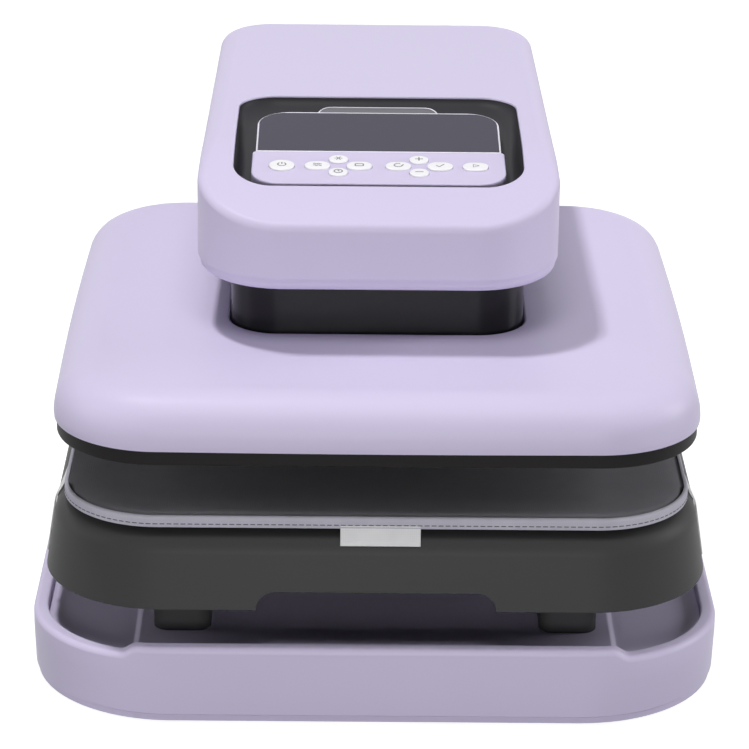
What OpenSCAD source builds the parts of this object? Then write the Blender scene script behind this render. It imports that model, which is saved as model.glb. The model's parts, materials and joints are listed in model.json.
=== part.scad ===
// Automatic heat press: a motor drives a heated platen down on a mat that lies on a pull-out drawer.
// Millimetres. +X right, +Y to the back, +Z up, origin on the floor under the middle of the machine.

/* [Base] */
// Width of the base
base_w = 459; // [445:1:490]
// Depth of the base, front to back
base_d = 516; // [506:1:560]
// Height from the floor to the rim of the base
base_h = 50; // [46:1:62]
// Corner radius of the base in plan
base_r = 88; // [70:1:100]
// Corner radius at the foot of the base, where the corners draw in
base_foot_r = 96; // [90:1:115]
// Height over which the corners of the base draw in
base_trim_h = 30; // [20:1:34]
// Height of the rubber feet below the base
foot_h = 3; // [2:0.5:6]
// Diameter of the rubber feet
foot_d = 34; // [20:1:44]
// Distance of the feet from the sides of the base
foot_inset = 62; // [50:1:80]
// Height of the bottom pan that shows under the cover
pan_h = 4.5; // [3.5:0.5:8]
// How far the bottom pan stands in from the cover
pan_in = 1.5; // [0.5:0.25:2]
// Width of the rim around the sunk deck
rim_w = 10; // [8:1:18]
// Rounding of the rim
rim_round = 4; // [3:0.5:6]
// Rise of the middle of the front rim
rim_rise = 5.5; // [1:0.5:7]
// Half width of the raised deck and of the raised front rim
deck_half_w = 155; // [150:1:170]
// Depth of the deck below the rim
deck_drop = 4; // [2:0.5:6]
// Depth of the side channels below the deck
channel_drop = 3; // [1:0.5:4]

/* [Walls] */
// Wall of the moulded covers
wall = 3; // [2:0.25:3.5]
// Gap between moulded pieces that lie in each other
fit_gap = 0.3; // [0.2:0.05:0.5]

/* [Drawer] */
// Width of the drawer
drawer_w = 440; // [425:1:450]
// Depth of the drawer, front to back
drawer_d = 425; // [418:1:430]
// Height of the drawer's side
drawer_h = 50; // [44:1:56]
// Corner radius of the drawer in plan
drawer_r = 80; // [60:1:90]
// Rounding of the drawer's top edge
drawer_round = 16; // [10:0.5:18]
// How far the drawer's walls lean in from their foot to the top
drawer_draft = 8; // [0:0.5:10]
// Clear height between the rim and the drawer
drawer_lift = 29; // [24:1:40]
// Gap between the drawer and the column
drawer_gap = 17; // [12:1:22]
// How far the drawer pulls out
drawer_travel = 280; // [200:5:300]
// Width of the finger cut-out in the front skirt
pull_w = 156; // [120:1:180]
// Height of the finger cut-out
pull_h = 12; // [8:0.5:16]
// How far the deck plate stands in from the mat's edge
deck_plate_in = 13; // [12:0.5:20]
// Thickness of the deck plate
deck_plate_t = 5; // [3:0.5:6]
// Distance of the slides from the middle
slide_x = 128; // [118:1:136]
// Length over which the members of a slide still overlap when the drawer is out
slide_overlap = 200; // [180:5:210]
// Outer width of a slide
slide_w = 44; // [38:1:48]
// Width of a support post
post_w = 38; // [30:1:44]
// Depth of a support post
post_d = 40; // [30:1:50]

/* [Mat] */
// Distance of the mat from the drawer's sides
mat_margin = 13.5; // [12:0.5:18]
// Distance of the mat from the drawer's front and back
mat_end = 9.5; // [8.5:0.25:12]
// Thickness of the mat
mat_t = 13; // [10:0.5:16]
// Corner radius of the mat in plan
mat_r = 64; // [50:1:72]
// How far the mat's sides draw in between its corners
mat_draw = 1.5; // [0:0.25:3]
// Rise of the mat's middle over its edge
mat_crown = 1; // [0:0.25:2]
// Width of an elastic strap
strap_w = 5; // [4:0.5:14]
// Thickness of an elastic strap
strap_t = 1.2; // [0.8:0.1:1.6]
// Distance of the straps from the mat's middle, along the side
strap_y = 100; // [80:1:120]
// Width of the cloth tag
tag_w = 52; // [30:1:70]
// Thickness of the cloth tag
tag_t = 0.8; // [0.5:0.1:1.2]
// How far the tag hangs below the drawer's top
tag_drop = 11; // [6:0.5:14]

/* [Platen] */
// Width of the platen cover
platen_w = 427; // [420:1:438]
// Depth of the platen cover
platen_d = 438; // [430:1:446]
// Corner radius of the platen cover in plan
platen_r = 71; // [66:1:84]
// Outward bow of the platen's sides
platen_bow = 1.5; // [0:0.25:3]
// Height of the cover's rounded edge
platen_edge_h = 34; // [28:1:38]
// How far the cover's rounding reaches in from its edge
platen_edge_run = 33.5; // [28:0.5:36]
// Fullness of that rounding: 2 is an ellipse, more is squarer
platen_fullness = 2.4; // [2:0.1:3]
// Rise of the cover's middle over its edge
platen_crown = 3; // [2:0.5:8]
// Height of the dark rim under the cover
platen_rim_h = 10; // [8:0.5:11]
// How far the dark rim stands in from the cover's edge
platen_rim_in = 2; // [1:0.25:3]
// Distance of the heat plate from the cover's sides
heat_side = 23.5; // [20:0.5:30]
// Distance of the heat plate from the cover's front and back
heat_end = 29; // [22:0.5:34]
// Thickness of the heat plate
heat_plate_t = 12; // [11:0.5:14]
// How far the heat plate stands below the dark rim
heat_plate_out = 3; // [1:0.5:5]
// Gap from the mat to the heat plate when open
press_gap = 34.7; // [30:0.1:36]
// How far the platen comes down
press_travel = 34; // [28:0.5:34.5]
// Diameter of the heating tube
heater_d = 8; // [6:0.25:8.5]
// Distance between the runs of the heating tube
heater_pitch = 56; // [48:1:58]
// Length of a straight run of the heating tube
heater_run = 250; // [220:1:280]
// Thickness of the insulation blanket
blanket_t = 2.5; // [1.5:0.25:2.75]

/* [Neck and head] */
// Width of the neck between the head and the platen
neck_w = 197; // [190:1:206]
// Depth of the neck
neck_d = 190; // [186:1:200]
// Corner radius of the neck
neck_r = 32; // [20:1:40]
// Gap between the neck and the opening in the platen cover
neck_gap = 1; // [0.6:0.1:1.5]
// Clear height between the platen cover and the head
head_lift = 39; // [37:1:46]
// Width of the head
head_w = 242; // [234:1:256]
// How much each side of the head draws in from its front to its back
head_taper = 4; // [0:0.5:6]
// Distance from the screw's axis to the head's front
head_nose = 125; // [118:1:134]
// Height of the head
head_h = 73; // [71:1:80]
// Height of the lower shell of the head
head_low_h = 8.5; // [7:0.5:10]
// How far the lower shell stands in from the upper one
head_low_in = 1.5; // [1:0.25:2]
// Corner radius of the head's front in plan
head_front_r = 58; // [45:1:66]
// Corner radius of the head's back in plan
head_back_r = 40; // [25:1:45]
// Rounding of the head's top edge
head_round = 7; // [5:0.5:10]
// Radius of the roll of the head's top down to its front
head_roll_r = 290; // [270:5:330]
// Length of that roll
head_roll = 127; // [120:1:132]
// Width of the column behind the platen
column_w = 204; // [196:1:214]
// Depth of the column
column_d = 59; // [56:1:80]
// Gap between the platen and the column
column_gap = 7; // [5:0.5:10]
// Distance from the back of the base to the back of the column
column_inset = 6; // [5:0.5:10]
// Corner radius of the column
column_r = 26; // [18:1:28]

/* [Panel] */
// Distance from the head's front to the panel's front
panel_setback = 45; // [42:1:48]
// Tilt of the panel towards the front
panel_tilt = 6; // [5:0.25:7]
// Depth of the panel's front edge below the head's surface
panel_sink = 0.6; // [0.3:0.1:1]
// Width of the button strip
strip_w = 170; // [166:1:174]
// Depth of the button strip
strip_d = 53.5; // [50:0.5:56]
// Depth of the display part of the console
display_d = 69; // [64:0.5:72]
// Width of the rim around the lens
display_rim = 3; // [2:0.25:4]
// Distance from each end of the button strip to the recess's side
recess_side = 11.5; // [10:0.25:14]
// Distance from the console's front to the recess's front
recess_front = 3.5; // [2:0.25:5]
// Width of the hand hold behind the console
grip_gap = 42; // [38:1:46]
// Depth of the recess below the console's surface
recess_depth = 12; // [11.5:0.25:12.5]
// Diameter of the round buttons
button_d = 17; // [15:0.25:18]
// Diameter of the small buttons
small_button_d = 12.8; // [11:0.2:13]
// Length of the oval buttons
oval_button_w = 17; // [15:0.25:18]
// Height of the buttons over the console
button_rise = 1.2; // [0.8:0.1:1.6]
// Travel of a button
button_travel = 0.7; // [0.4:0.1:0.8]
// Distance of the single buttons from the middle
single_x = 64.8; // [63.5:0.25:67]
// Distance of a cluster of four from the middle
cluster_x = 27; // [26.5:0.25:28]
// Half width of a cluster
cluster_half_w = 14; // [13.75:0.25:14.5]
// Half depth of a cluster
cluster_half_d = 10.8; // [10:0.2:11.6]

/* [Drive] */
// Thickness of a frame plate
frame_t = 6; // [4:0.5:7]
// Distance between the two frame plates
frame_gap = 154; // [146:1:160]
// Depth of the frame plates' arms
arm_h = 32; // [28:1:34]
// Diameter of the lead screw
screw_d = 20; // [16:0.5:22]
// Diameter of the guide posts
guide_d = 14; // [10:0.5:16]
// Distance of the guide posts from the screw, in X and in Y
guide_x = 56; // [50:1:58]
// Diameter of the toothed pulleys
pulley_d = 48; // [40:1:52]
// Width of the belt
belt_w = 8; // [6:0.5:9]
// Thickness of the belt
belt_t = 2; // [1.5:0.25:2.5]
// Diameter of the gear motor
motor_d = 48; // [40:1:50]
// Length of the gear motor
motor_len = 84; // [70:1:100]

/* [Hidden] */
$fn = 64;
// Clearance of a shaft in its bore, on the radius
run_gap = 0.05;
// Play of a piece that slides on another
slide_gap = 0.35;
// Overlap of a cut past the face it opens
cut = 1;

// Heights, from the floor up
z_cover = foot_h + pan_h;
z_deck = base_h - deck_drop;
z_channel = z_deck - channel_drop;
z_drawer = base_h + drawer_lift;
z_drawer_top = z_drawer + drawer_h;
z_mat = z_drawer_top + fit_gap;
z_mat_top = z_mat + mat_t;
z_plate = z_mat_top + press_gap;
z_plate_top = z_plate + heat_plate_t;
z_rim = z_plate + heat_plate_out;
z_dome = z_rim + platen_rim_h;
z_dome_top = z_dome + platen_edge_h + platen_crown;
z_head = z_dome_top + head_lift;
z_part = z_head + head_low_h;
z_top = z_head + head_h;

// Places along the machine, front to back
front_y = -base_d / 2;
back_y = base_d / 2;
column_back = back_y - column_inset;
column_front = column_back - column_d;
column_y = column_front + column_d / 2;
drawer_y = column_front - drawer_gap - drawer_d / 2;
platen_y = column_front - column_gap - platen_d / 2;
press_y = platen_y;
mat_y = drawer_y;
head_front = press_y - head_nose;
panel_y = head_front + panel_setback;
recess_w = strip_w + 2 * recess_side;

// Height of the head's top over a place along it: level at the back, rolling down to the front
function roll_end() = head_front + head_roll;
function head_z(y) = z_top - (y < roll_end() ? pow(roll_end() - y, 2) / (2 * head_roll_r) : 0);
panel_z = head_z(panel_y) - panel_sink;
console_d = strip_d + display_d;
console_back = panel_y + console_d * cos(panel_tilt);
recess_y0 = panel_y - recess_front;
recess_y1 = console_back + grip_gap;

// Pieces that take their size from what holds them
mat_w = drawer_w - 2 * mat_margin;
mat_d = drawer_d - 2 * mat_end;
deck_plate_w = mat_w - 2 * deck_plate_in;
deck_plate_d = mat_d - 2 * deck_plate_in;
heat_plate_w = platen_w - 2 * heat_side;
heat_plate_d = platen_d - 2 * heat_end;

// Colours as the object shows them
lavender = [0.80, 0.76, 0.88];
graphite = [0.22, 0.22, 0.23];
black = [0.07, 0.07, 0.08];
steel = [0.62, 0.63, 0.65];
silver = [0.78, 0.79, 0.80];
cloth = [0.66, 0.66, 0.70];
white = [0.94, 0.94, 0.95];
bronze = [0.72, 0.58, 0.30];
board_green = [0.10, 0.32, 0.20];

// A rectangle with round corners, about its middle
module rounded(w, d, r) {
    square([w - 2 * r, d], center = true);
    square([w, d - 2 * r], center = true);
    for (sx = [-1, 1], sy = [-1, 1])
        translate([sx * (w / 2 - r), sy * (d / 2 - r)])
            circle(r);
}

// The section of a block's edge from a corner's axis outwards: a wall that leans in, rounded at the top
module edge_section(r, h, f, lean) {
    tilt = atan2(lean, h);
    hub = r - lean * (h - f) / h - f / cos(tilt);
    polygon([[0, 0], [r, 0], [hub + f * cos(tilt), h - f + f * sin(tilt)], [hub, h], [0, h]]);
    translate([hub, h - f])
        circle(f);
}

// A block with round corners in plan, walls that may lean in and a rounded top edge
module soft_block(w, d, h, r, f, lean = 0) {
    places = [[1, 1], [-1, 1], [-1, -1], [1, -1]];
    for (i = [0:3])
        translate([places[i][0] * (w / 2 - r), places[i][1] * (d / 2 - r), 0])
            rotate([0, 0, 90 * i])
                rotate_extrude(angle = 90)
                    edge_section(r, h, f, lean);
    for (s = [0, 180])
        rotate([0, 0, s]) {
            translate([w / 2 - r, d / 2 - r, 0])
                rotate([90, 0, 0])
                    linear_extrude(d - 2 * r)
                        edge_section(r, h, f, lean);
            translate([-(w / 2 - r), d / 2 - r, 0])
                rotate([90, 0, 90])
                    linear_extrude(w - 2 * r)
                        edge_section(r, h, f, lean);
        }
    translate([-(w / 2 - r), -(d / 2 - r), 0])
        cube([w - 2 * r, d - 2 * r, h]);
}

// A straight prism with round corners
module slab(w, d, h, r) {
    linear_extrude(h)
        rounded(w, d, r);
}

// Points round a rectangle with round corners, whose sides bow out in the middle, anticlockwise
corner_steps = 9;
side_steps = 6;
function outline(w, d, r, bow) = [
    for (q = [0:3])
        let (
            sx = (q == 0 || q == 3) ? 1 : -1,
            sy = q < 2 ? 1 : -1,
            nx = q == 0 ? -1 : q == 2 ? 1 : 0,
            ny = q == 1 ? -1 : q == 3 ? 1 : 0,
            c = [sx * (w / 2 - r), sy * (d / 2 - r)],
            run = (nx != 0 ? w : d) - 2 * r,
            last = 90 * (q + 1),
            e = c + r * [cos(last), sin(last)]
        )
        each concat(
            [for (k = [0:corner_steps])
                let (a = 90 * q + 90 * k / corner_steps)
                c + r * [cos(a), sin(a)]],
            [for (j = [1:side_steps - 1])
                let (t = j / side_steps)
                e + run * t * [nx, ny] + bow * sin(180 * t) * [cos(last), sin(last)]]
        )
];
outline_count = 4 * (corner_steps + side_steps);
function lift(ring, z) = [for (p = ring) [p[0], p[1], z]];
function between(a, b, t) = [for (i = [0:len(a) - 1]) a[i] + t * (b[i] - a[i])];

// Triangles between neighbouring rings of n points each
function band_faces(rings, n, closed) = [
    for (i = [0:rings - (closed ? 1 : 2)], k = [0:n - 1])
        let (
            a = i * n + k,
            b = i * n + (k + 1) % n,
            c = ((i + 1) % rings) * n + (k + 1) % n,
            e = ((i + 1) % rings) * n + k
        )
        each [[a, c, b], [a, e, c]]
];

// Base

module base_cover() {
    color(lavender)
    difference() {
        union() {
            translate([0, 0, z_cover])
                soft_block(base_w, base_d, base_h - z_cover, base_r, rim_round);
            intersection() {
                translate([0, 0, z_cover])
                    soft_block(base_w, base_d, base_h + rim_rise - z_cover, base_r, rim_round);
                front_rise();
            }
        }
        translate([0, 0, z_cover - cut])
            slab(base_w - 2 * wall, base_d - 2 * wall, z_channel - wall - z_cover + cut, base_foot_r - wall);
        difference() {
            deck_space(z_channel, rim_w);
            deck_block();
        }
        frame_passage(z_channel - wall - cut, wall + base_h);
        foot_trim();
    }
}

// What is taken off the corners of the base towards its foot: all that lies outside a cone
module foot_trim() {
    grow = (base_foot_r - base_r) * (sqrt(2) - 1);
    for (sx = [-1, 1], sy = [-1, 1])
        translate([sx * (base_w / 2 - base_foot_r), sy * (base_d / 2 - base_foot_r), z_cover - cut])
            difference() {
                mirror([sx < 0 ? 1 : 0, 0, 0])
                    mirror([0, sy < 0 ? 1 : 0, 0])
                        cube([base_foot_r + cut, base_foot_r + cut, base_trim_h]);
                translate([0, 0, -cut])
                    cylinder(r1 = base_foot_r + foot_ease, r2 = base_foot_r + grow + foot_ease,
                             h = base_trim_h + 2 * cut);
            }
}
// Keeps the cone just clear of the flat sides
foot_ease = 0.1;

// The stretch of the front that rises, with a short ramp at each end
module front_rise() {
    translate([0, front_y + base_r, 0])
        rotate([90, 0, 0])
            linear_extrude(base_r + cut)
                polygon([
                    [-deck_half_w - 2 * rim_rise, base_h - rim_round],
                    [deck_half_w + 2 * rim_rise, base_h - rim_round],
                    [deck_half_w + 2 * rim_rise, base_h],
                    [deck_half_w, base_h + rim_rise + cut],
                    [-deck_half_w, base_h + rim_rise + cut],
                    [-deck_half_w - 2 * rim_rise, base_h]
                ]);
}

// The sunk space inside the rim, in front of the column
module deck_space(z, rim) {
    deck_back = column_front - rim;
    intersection() {
        translate([0, 0, z])
            slab(base_w - 2 * rim, base_d - 2 * rim, base_h, base_r - rim);
        translate([-base_w / 2, front_y, z])
            cube([base_w, deck_back - front_y, base_h]);
    }
}

// The raised middle of the deck, with sloping sides
module deck_block() {
    translate([0, back_y, 0])
        rotate([90, 0, 0])
            linear_extrude(base_d)
                polygon([
                    [-deck_half_w - channel_drop, z_channel - cut],
                    [deck_half_w + channel_drop, z_channel - cut],
                    [deck_half_w, z_deck],
                    [-deck_half_w, z_deck]
                ]);
}

// The way through covers for the two uprights and what lies between them
module frame_passage(z, h) {
    w = frame_gap + 2 * frame_t + 2 * wall;
    translate([-w / 2, column_front + wall, z])
        cube([w, column_d - 2 * wall, h]);
}

module base_pan() {
    inner = pan_in + wall;
    color(lavender)
    difference() {
        translate([0, 0, foot_h])
            slab(base_w - 2 * pan_in, base_d - 2 * pan_in, pan_h, base_foot_r - pan_in);
        translate([0, 0, foot_h + wall])
            slab(base_w - 2 * inner, base_d - 2 * inner, pan_h, base_foot_r - inner);
    }
}

module rubber_feet() {
    color(black)
    for (sx = [-1, 1], sy = [-1, 1])
        translate([sx * (base_w / 2 - foot_inset), sy * (base_d / 2 - foot_inset), 0])
            cylinder(d = foot_d, h = foot_h);
}

// Frame: two plates bent round the drawer and the platen like a C, with what ties them together

z_floor_plate = foot_h + wall;
floor_plate_t = 5;
z_leg = z_floor_plate + floor_plate_t;
leg_h = 24;
z_arm = z_head + 2 * wall;
z_arm_top = z_arm + arm_h;
upright_front = column_front + 2 * wall;
upright_back = column_back - 2 * wall;
arm_past_guides = 24;
arm_front = press_y - guide_x - arm_past_guides;
leg_setback = 42;
leg_front = front_y + leg_setback;
nose = 24;
floor_plate_margin = 30;
floor_plate_r = 12;
floor_hole_d = 70;
floor_hole_pitch = 120;

module frame_side() {
    difference() {
        union() {
            translate([leg_front, z_leg])
                square([upright_back - leg_front, leg_h]);
            translate([upright_front, z_leg])
                square([upright_back - upright_front, z_arm_top - z_leg]);
            translate([arm_front, z_arm])
                square([upright_back - arm_front, arm_h]);
        }
        translate([arm_front, z_arm])
            nose_cut();
    }
}

// The cut that takes the arm's lower front corner off
module nose_cut() {
    polygon([[-cut, -cut], [nose, -cut], [-cut, nose]]);
}

module frame_plates() {
    color(steel)
    for (s = [-1, 1])
        translate([s * (frame_gap + frame_t) / 2 - frame_t / 2, 0, 0])
            rotate([90, 0, 90])
                linear_extrude(frame_t)
                    frame_side();
}

module floor_plate() {
    w = frame_gap + 2 * frame_t + 2 * floor_plate_margin;
    color(steel)
    difference() {
        translate([0, (leg_front + upright_back) / 2, z_floor_plate])
            slab(w, upright_back - leg_front, floor_plate_t, floor_plate_r);
        for (i = [-1:1])
            translate([0, i * floor_hole_pitch, z_floor_plate - cut])
                cylinder(d = floor_hole_d, h = floor_plate_t + 2 * cut);
    }
}

tie_d = 16;
back_tie_lift = 150;

module frame_ties() {
    color(steel)
    for (p = [[leg_front + 2 * tie_d, z_leg + leg_h / 2], [0, z_leg + leg_h / 2],
              [upright_back - tie_d, z_leg + back_tie_lift]])
        translate([-frame_gap / 2, p[0], p[1]])
            rotate([0, 90, 0])
                cylinder(d = tie_d, h = frame_gap);
}

crosshead_lift = 4;
z_crosshead = z_arm + crosshead_lift;
crosshead_t = 8;
z_crosshead_top = z_crosshead + crosshead_t;
bearing_d = 42;
bush_d = guide_d + 8;
motor_y = column_y;
motor_boss_d = 18;

module crosshead() {
    color(steel)
    difference() {
        translate([-frame_gap / 2, arm_front + crosshead_lift, z_crosshead])
            cube([frame_gap, upright_back - arm_front - 2 * crosshead_lift, crosshead_t]);
        translate([0, press_y, z_crosshead - cut])
            cylinder(d = bearing_d, h = crosshead_t + 2 * cut);
        translate([0, motor_y, z_crosshead - cut])
            cylinder(d = motor_boss_d, h = crosshead_t + 2 * cut);
        at_guides()
            translate([0, 0, z_crosshead - cut])
                cylinder(d = bush_d, h = crosshead_t + 2 * cut);
    }
}

module at_guides() {
    for (sx = [-1, 1], sy = [-1, 1])
        translate([sx * guide_x, press_y + sy * guide_x, 0])
            children();
}

// Column covers

module column_shell() {
    translate([0, column_y, base_h])
        difference() {
            slab(column_w, column_d, z_head - base_h, column_r);
            translate([0, 0, -cut])
                slab(column_w - 2 * wall, column_d - 2 * wall, z_head - base_h + 2 * cut, column_r - wall);
        }
}

module column_half(front) {
    y0 = front ? column_front - cut : column_y;
    intersection() {
        column_shell();
        translate([-column_w, y0, base_h - cut])
            cube([2 * column_w, column_d / 2 + cut, z_head - base_h + 2 * cut]);
    }
}

module column_front_cover() {
    color(lavender)
        column_half(true);
}

vent_count = 9;
vent_w = 96;
vent_h = 4;
vent_pitch = 9;
vent_lift = 60;
inlet_x = 46;
switch_x = -46;
z_inlet = base_h + 48;
inlet_w = 30;
inlet_h = 23;
inlet_r = 3;
switch_w = 28;
switch_h = 20;
switch_r = 2;
flange_t = 2;

module column_back_cover() {
    color(lavender)
    difference() {
        column_half(false);
        for (i = [0:vent_count - 1])
            translate([0, column_back, z_inlet + vent_lift + i * vent_pitch])
                rotate([90, 0, 0])
                    translate([0, 0, -cut])
                        slab(vent_w, vent_h, wall + 2 * cut, vent_h / 2 - 0.01);
        translate([inlet_x, column_back + cut, z_inlet])
            rotate([90, 0, 0])
                slab(inlet_w, inlet_h, wall + 2 * cut, inlet_r);
        translate([switch_x, column_back + cut, z_inlet])
            rotate([90, 0, 0])
                slab(switch_w, switch_h, wall + 2 * cut, switch_r);
    }
}

inlet_depth = 24;
inlet_wall = 2.5;
inlet_lip = 3;
pin_w = 4;
pin_t = 2;
pin_x = 7;
pin_z = 2.5;
pin_sink = 6;

module power_inlet() {
    color(black)
    translate([inlet_x, column_back, z_inlet])
        rotate([90, 0, 0]) {
            difference() {
                union() {
                    slab(inlet_w - 2 * fit_gap, inlet_h - 2 * fit_gap, inlet_depth, inlet_r);
                    translate([0, 0, -flange_t])
                        slab(inlet_w + 2 * inlet_lip, inlet_h + 2 * inlet_lip, flange_t, inlet_r + 1);
                }
                translate([0, 0, -flange_t - cut])
                    slab(inlet_w - 2 * inlet_wall, inlet_h - 2 * inlet_wall,
                         inlet_depth + flange_t + cut - inlet_wall, inlet_r);
            }
            for (p = [[-pin_x, -pin_z], [0, pin_z], [pin_x, -pin_z]])
                translate([p[0] - pin_t / 2, p[1] - pin_w / 2, pin_sink])
                    cube([pin_t, pin_w, inlet_depth - pin_sink - cut]);
        }
}

rocker_tilt = 9;
rocker_r = 8;
rocker_w = 13;
rocker_face = 3;
switch_depth = 18;
switch_lip = 2;

module switch_frame() {
    color(black)
    translate([switch_x, column_back, z_inlet])
        rotate([90, 0, 0])
            difference() {
                union() {
                    slab(switch_w - 2 * fit_gap, switch_h - 2 * fit_gap, switch_depth, switch_r);
                    translate([0, 0, -flange_t])
                        slab(switch_w + 2 * switch_lip, switch_h + 2 * switch_lip, flange_t, switch_r + 1);
                }
                rotate([0, 90, 0])
                    cylinder(r = rocker_r, h = rocker_w + 2 * slide_gap, center = true);
            }
}

// The rocker is a drum with a wide vee cut in its face, turning on the drum's axis
module power_rocker() {
    r = rocker_r - slide_gap;
    rise = r * tan(rocker_tilt);
    color(graphite)
    translate([switch_x, column_back, z_inlet])
        rotate([90 - rocker_tilt, 0, 0])
            rotate([0, 90, 0])
                difference() {
                    cylinder(r = r, h = rocker_w, center = true);
                    translate([0, 0, -rocker_w])
                        linear_extrude(2 * rocker_w)
                            polygon([
                                [rocker_face, 0],
                                [rocker_face + rise, r],
                                [2 * r, r],
                                [2 * r, -r],
                                [rocker_face + rise, -r]
                            ]);
                }
}

// Head

head_corner_steps = 6;
head_side_steps = 12;
head_round_steps = 5;

// Right half of the head's outline from back to front, a given inset from the outside
function head_half(in) =
    let (
        hw = head_w / 2 - in,
        hb = hw - head_taper,
        yb = back_y - in,
        yf = head_front + in,
        rb = head_back_r - in,
        rf = head_front_r - in
    )
    concat(
        [for (k = [0:head_corner_steps])
            let (a = 90 - 90 * k / head_corner_steps)
            [hb - rb + rb * cos(a), yb - rb + rb * sin(a)]],
        [for (j = [1:head_side_steps - 1])
            let (t = j / head_side_steps)
            [hb + (hw - hb) * t, yb - rb + (yf + rf - yb + rb) * t]],
        [for (k = [0:head_corner_steps])
            let (a = -90 * k / head_corner_steps)
            [hw - rf + rf * cos(a), yf + rf + rf * sin(a)]]
    );
function mirrored(half) = [for (i = [len(half) - 1:-1:0]) [-half[i][0], half[i][1]]];
function head_outline(in) = let (h = head_half(in)) concat(h, mirrored(h));
head_count = 2 * len(head_half(0));

// The head as one solid: straight sides, a rounded top edge and a top that rolls down to the front
module head_solid(in, z_low, drop) {
    n = head_count;
    f = head_round - in;
    base_ring = lift(head_outline(in), z_low);
    rings = [for (i = [0:head_round_steps])
        let (
            a = 90 * i / head_round_steps,
            ring = head_outline(in + f * (1 - cos(a)))
        )
        [for (p = ring) [p[0], p[1], head_z(p[1]) - drop - f * (1 - sin(a))]]];
    levels = head_round_steps + 2;
    top = (levels - 1) * n;
    polyhedron(
        points = concat(base_ring, [for (r = rings) each r]),
        faces = concat(
            [for (f3 = band_faces(levels, n, false)) [f3[0], f3[2], f3[1]]],
            [for (i = [0:n / 2 - 2]) [i, i + 1, n - 2 - i, n - 1 - i]],
            [for (i = [0:n / 2 - 2]) [top + n - 1 - i, top + n - 2 - i, top + i + 1, top + i]]
        )
    );
}

recess_r = 26;

// The upright outline of the recess, widened by a gap
module recess_prism(gap, z, h) {
    w = recess_w + 2 * gap;
    d = recess_y1 - recess_y0 + 2 * gap;
    translate([0, (recess_y0 + recess_y1) / 2, z])
        slab(w, d, h, recess_r + gap);
}

module head_top_cover() {
    color(lavender)
    difference() {
        head_solid(0, z_part, 0);
        head_solid(wall, z_part - cut, wall);
        recess_prism(fit_gap, z_part, z_top);
    }
}

module head_bottom_cover() {
    in = head_low_in;
    color(lavender)
    difference() {
        translate([0, 0, z_head])
            linear_extrude(head_low_h)
                polygon(head_outline(in));
        translate([0, 0, z_head + wall])
            linear_extrude(head_low_h)
                polygon(head_outline(in + wall));
        translate([0, press_y, z_head - cut])
            slab(neck_w + 2 * fit_gap, neck_d + 2 * fit_gap, wall + 2 * cut, neck_r + fit_gap);
        frame_passage(z_head - cut, wall + 2 * cut);
    }
}

neck_flange = 6;
neck_flange_t = 2;
neck_clear = 0.5;
z_neck = z_plate_top + blanket_t + neck_clear;

module neck() {
    color(black)
    translate([0, press_y, 0])
        difference() {
            union() {
                translate([0, 0, z_neck])
                    slab(neck_w, neck_d, z_head + wall + neck_flange_t - z_neck, neck_r);
                translate([0, 0, z_head + wall])
                    slab(neck_w + 2 * neck_flange, neck_d + 2 * neck_flange, neck_flange_t,
                         neck_r + neck_flange);
            }
            translate([0, 0, z_neck - cut])
                slab(neck_w - 2 * wall, neck_d - 2 * wall, z_head, neck_r - wall);
        }
}

// Panel: its own plane is tilted, with x across, y up the slope and z out of its face

module on_panel() {
    translate([0, panel_y, panel_z])
        rotate([panel_tilt, 0, 0])
            children();
}

bezel_floor_t = 2.5;
bezel_lip = 2.5;
bezel_edge = 1;
dish_side = 4;
dish_front = 2;
dish_back = 14;
dish_r = 22;

module panel_bezel() {
    color(graphite)
    difference() {
        intersection() {
            head_solid(0, z_part, fit_gap);
            recess_prism(0, z_part, z_top);
            on_panel()
                translate([-recess_w, -recess_w, -recess_depth - bezel_floor_t])
                    cube([2 * recess_w, 3 * recess_w, 3 * recess_depth]);
        }
        bezel_dish();
    }
}

// The hollow of the bezel, narrowing from the head's surface to the floor that the console stands on
module bezel_dish() {
    d = recess_y1 - recess_y0;
    hull() {
        translate([0, (recess_y0 + recess_y1) / 2, z_top])
            slab(recess_w - 2 * bezel_lip, d - 2 * bezel_edge, cut, recess_r - bezel_lip, $fn = 32);
        on_panel()
            translate([0, (console_d + dish_back - dish_front) / 2, -recess_depth])
                slab(strip_w + 2 * dish_side, console_d + dish_front + dish_back, 0.1, dish_r, $fn = 32);
    }
}

console_t = recess_depth;
console_top_t = 2.5;
console_wall = 2.5;
strip_r = 20;
strip_step = 2;
display_r = 22;
display_w = strip_w - 2 * strip_step;

// Outline of the console: the button strip in front, the narrower display part behind it
module console_outline(in) {
    translate([0, strip_d / 2])
        rounded(strip_w - 2 * in, strip_d - 2 * in, strip_r - in);
    translate([0, console_d / 2])
        rounded(display_w - 2 * in, console_d - 2 * in, display_r - in);
}

lens_w = display_w - 2 * display_rim;
lens_d = display_d - display_rim;
lens_y = strip_d + lens_d / 2;
lens_t = 1.6;
lens_seat = 8;
window_r = 8;
window_gap = 1;

// Outline of the lens: square at the button strip, round at the back
module lens_outline(gap) {
    translate([0, lens_y])
        rounded(lens_w + 2 * gap, lens_d + 2 * gap, display_r - display_rim + gap);
    translate([-lens_w / 2 - gap, strip_d - gap])
        square([lens_w + 2 * gap, lens_d / 2]);
}

row_y = 27.5;
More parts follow.
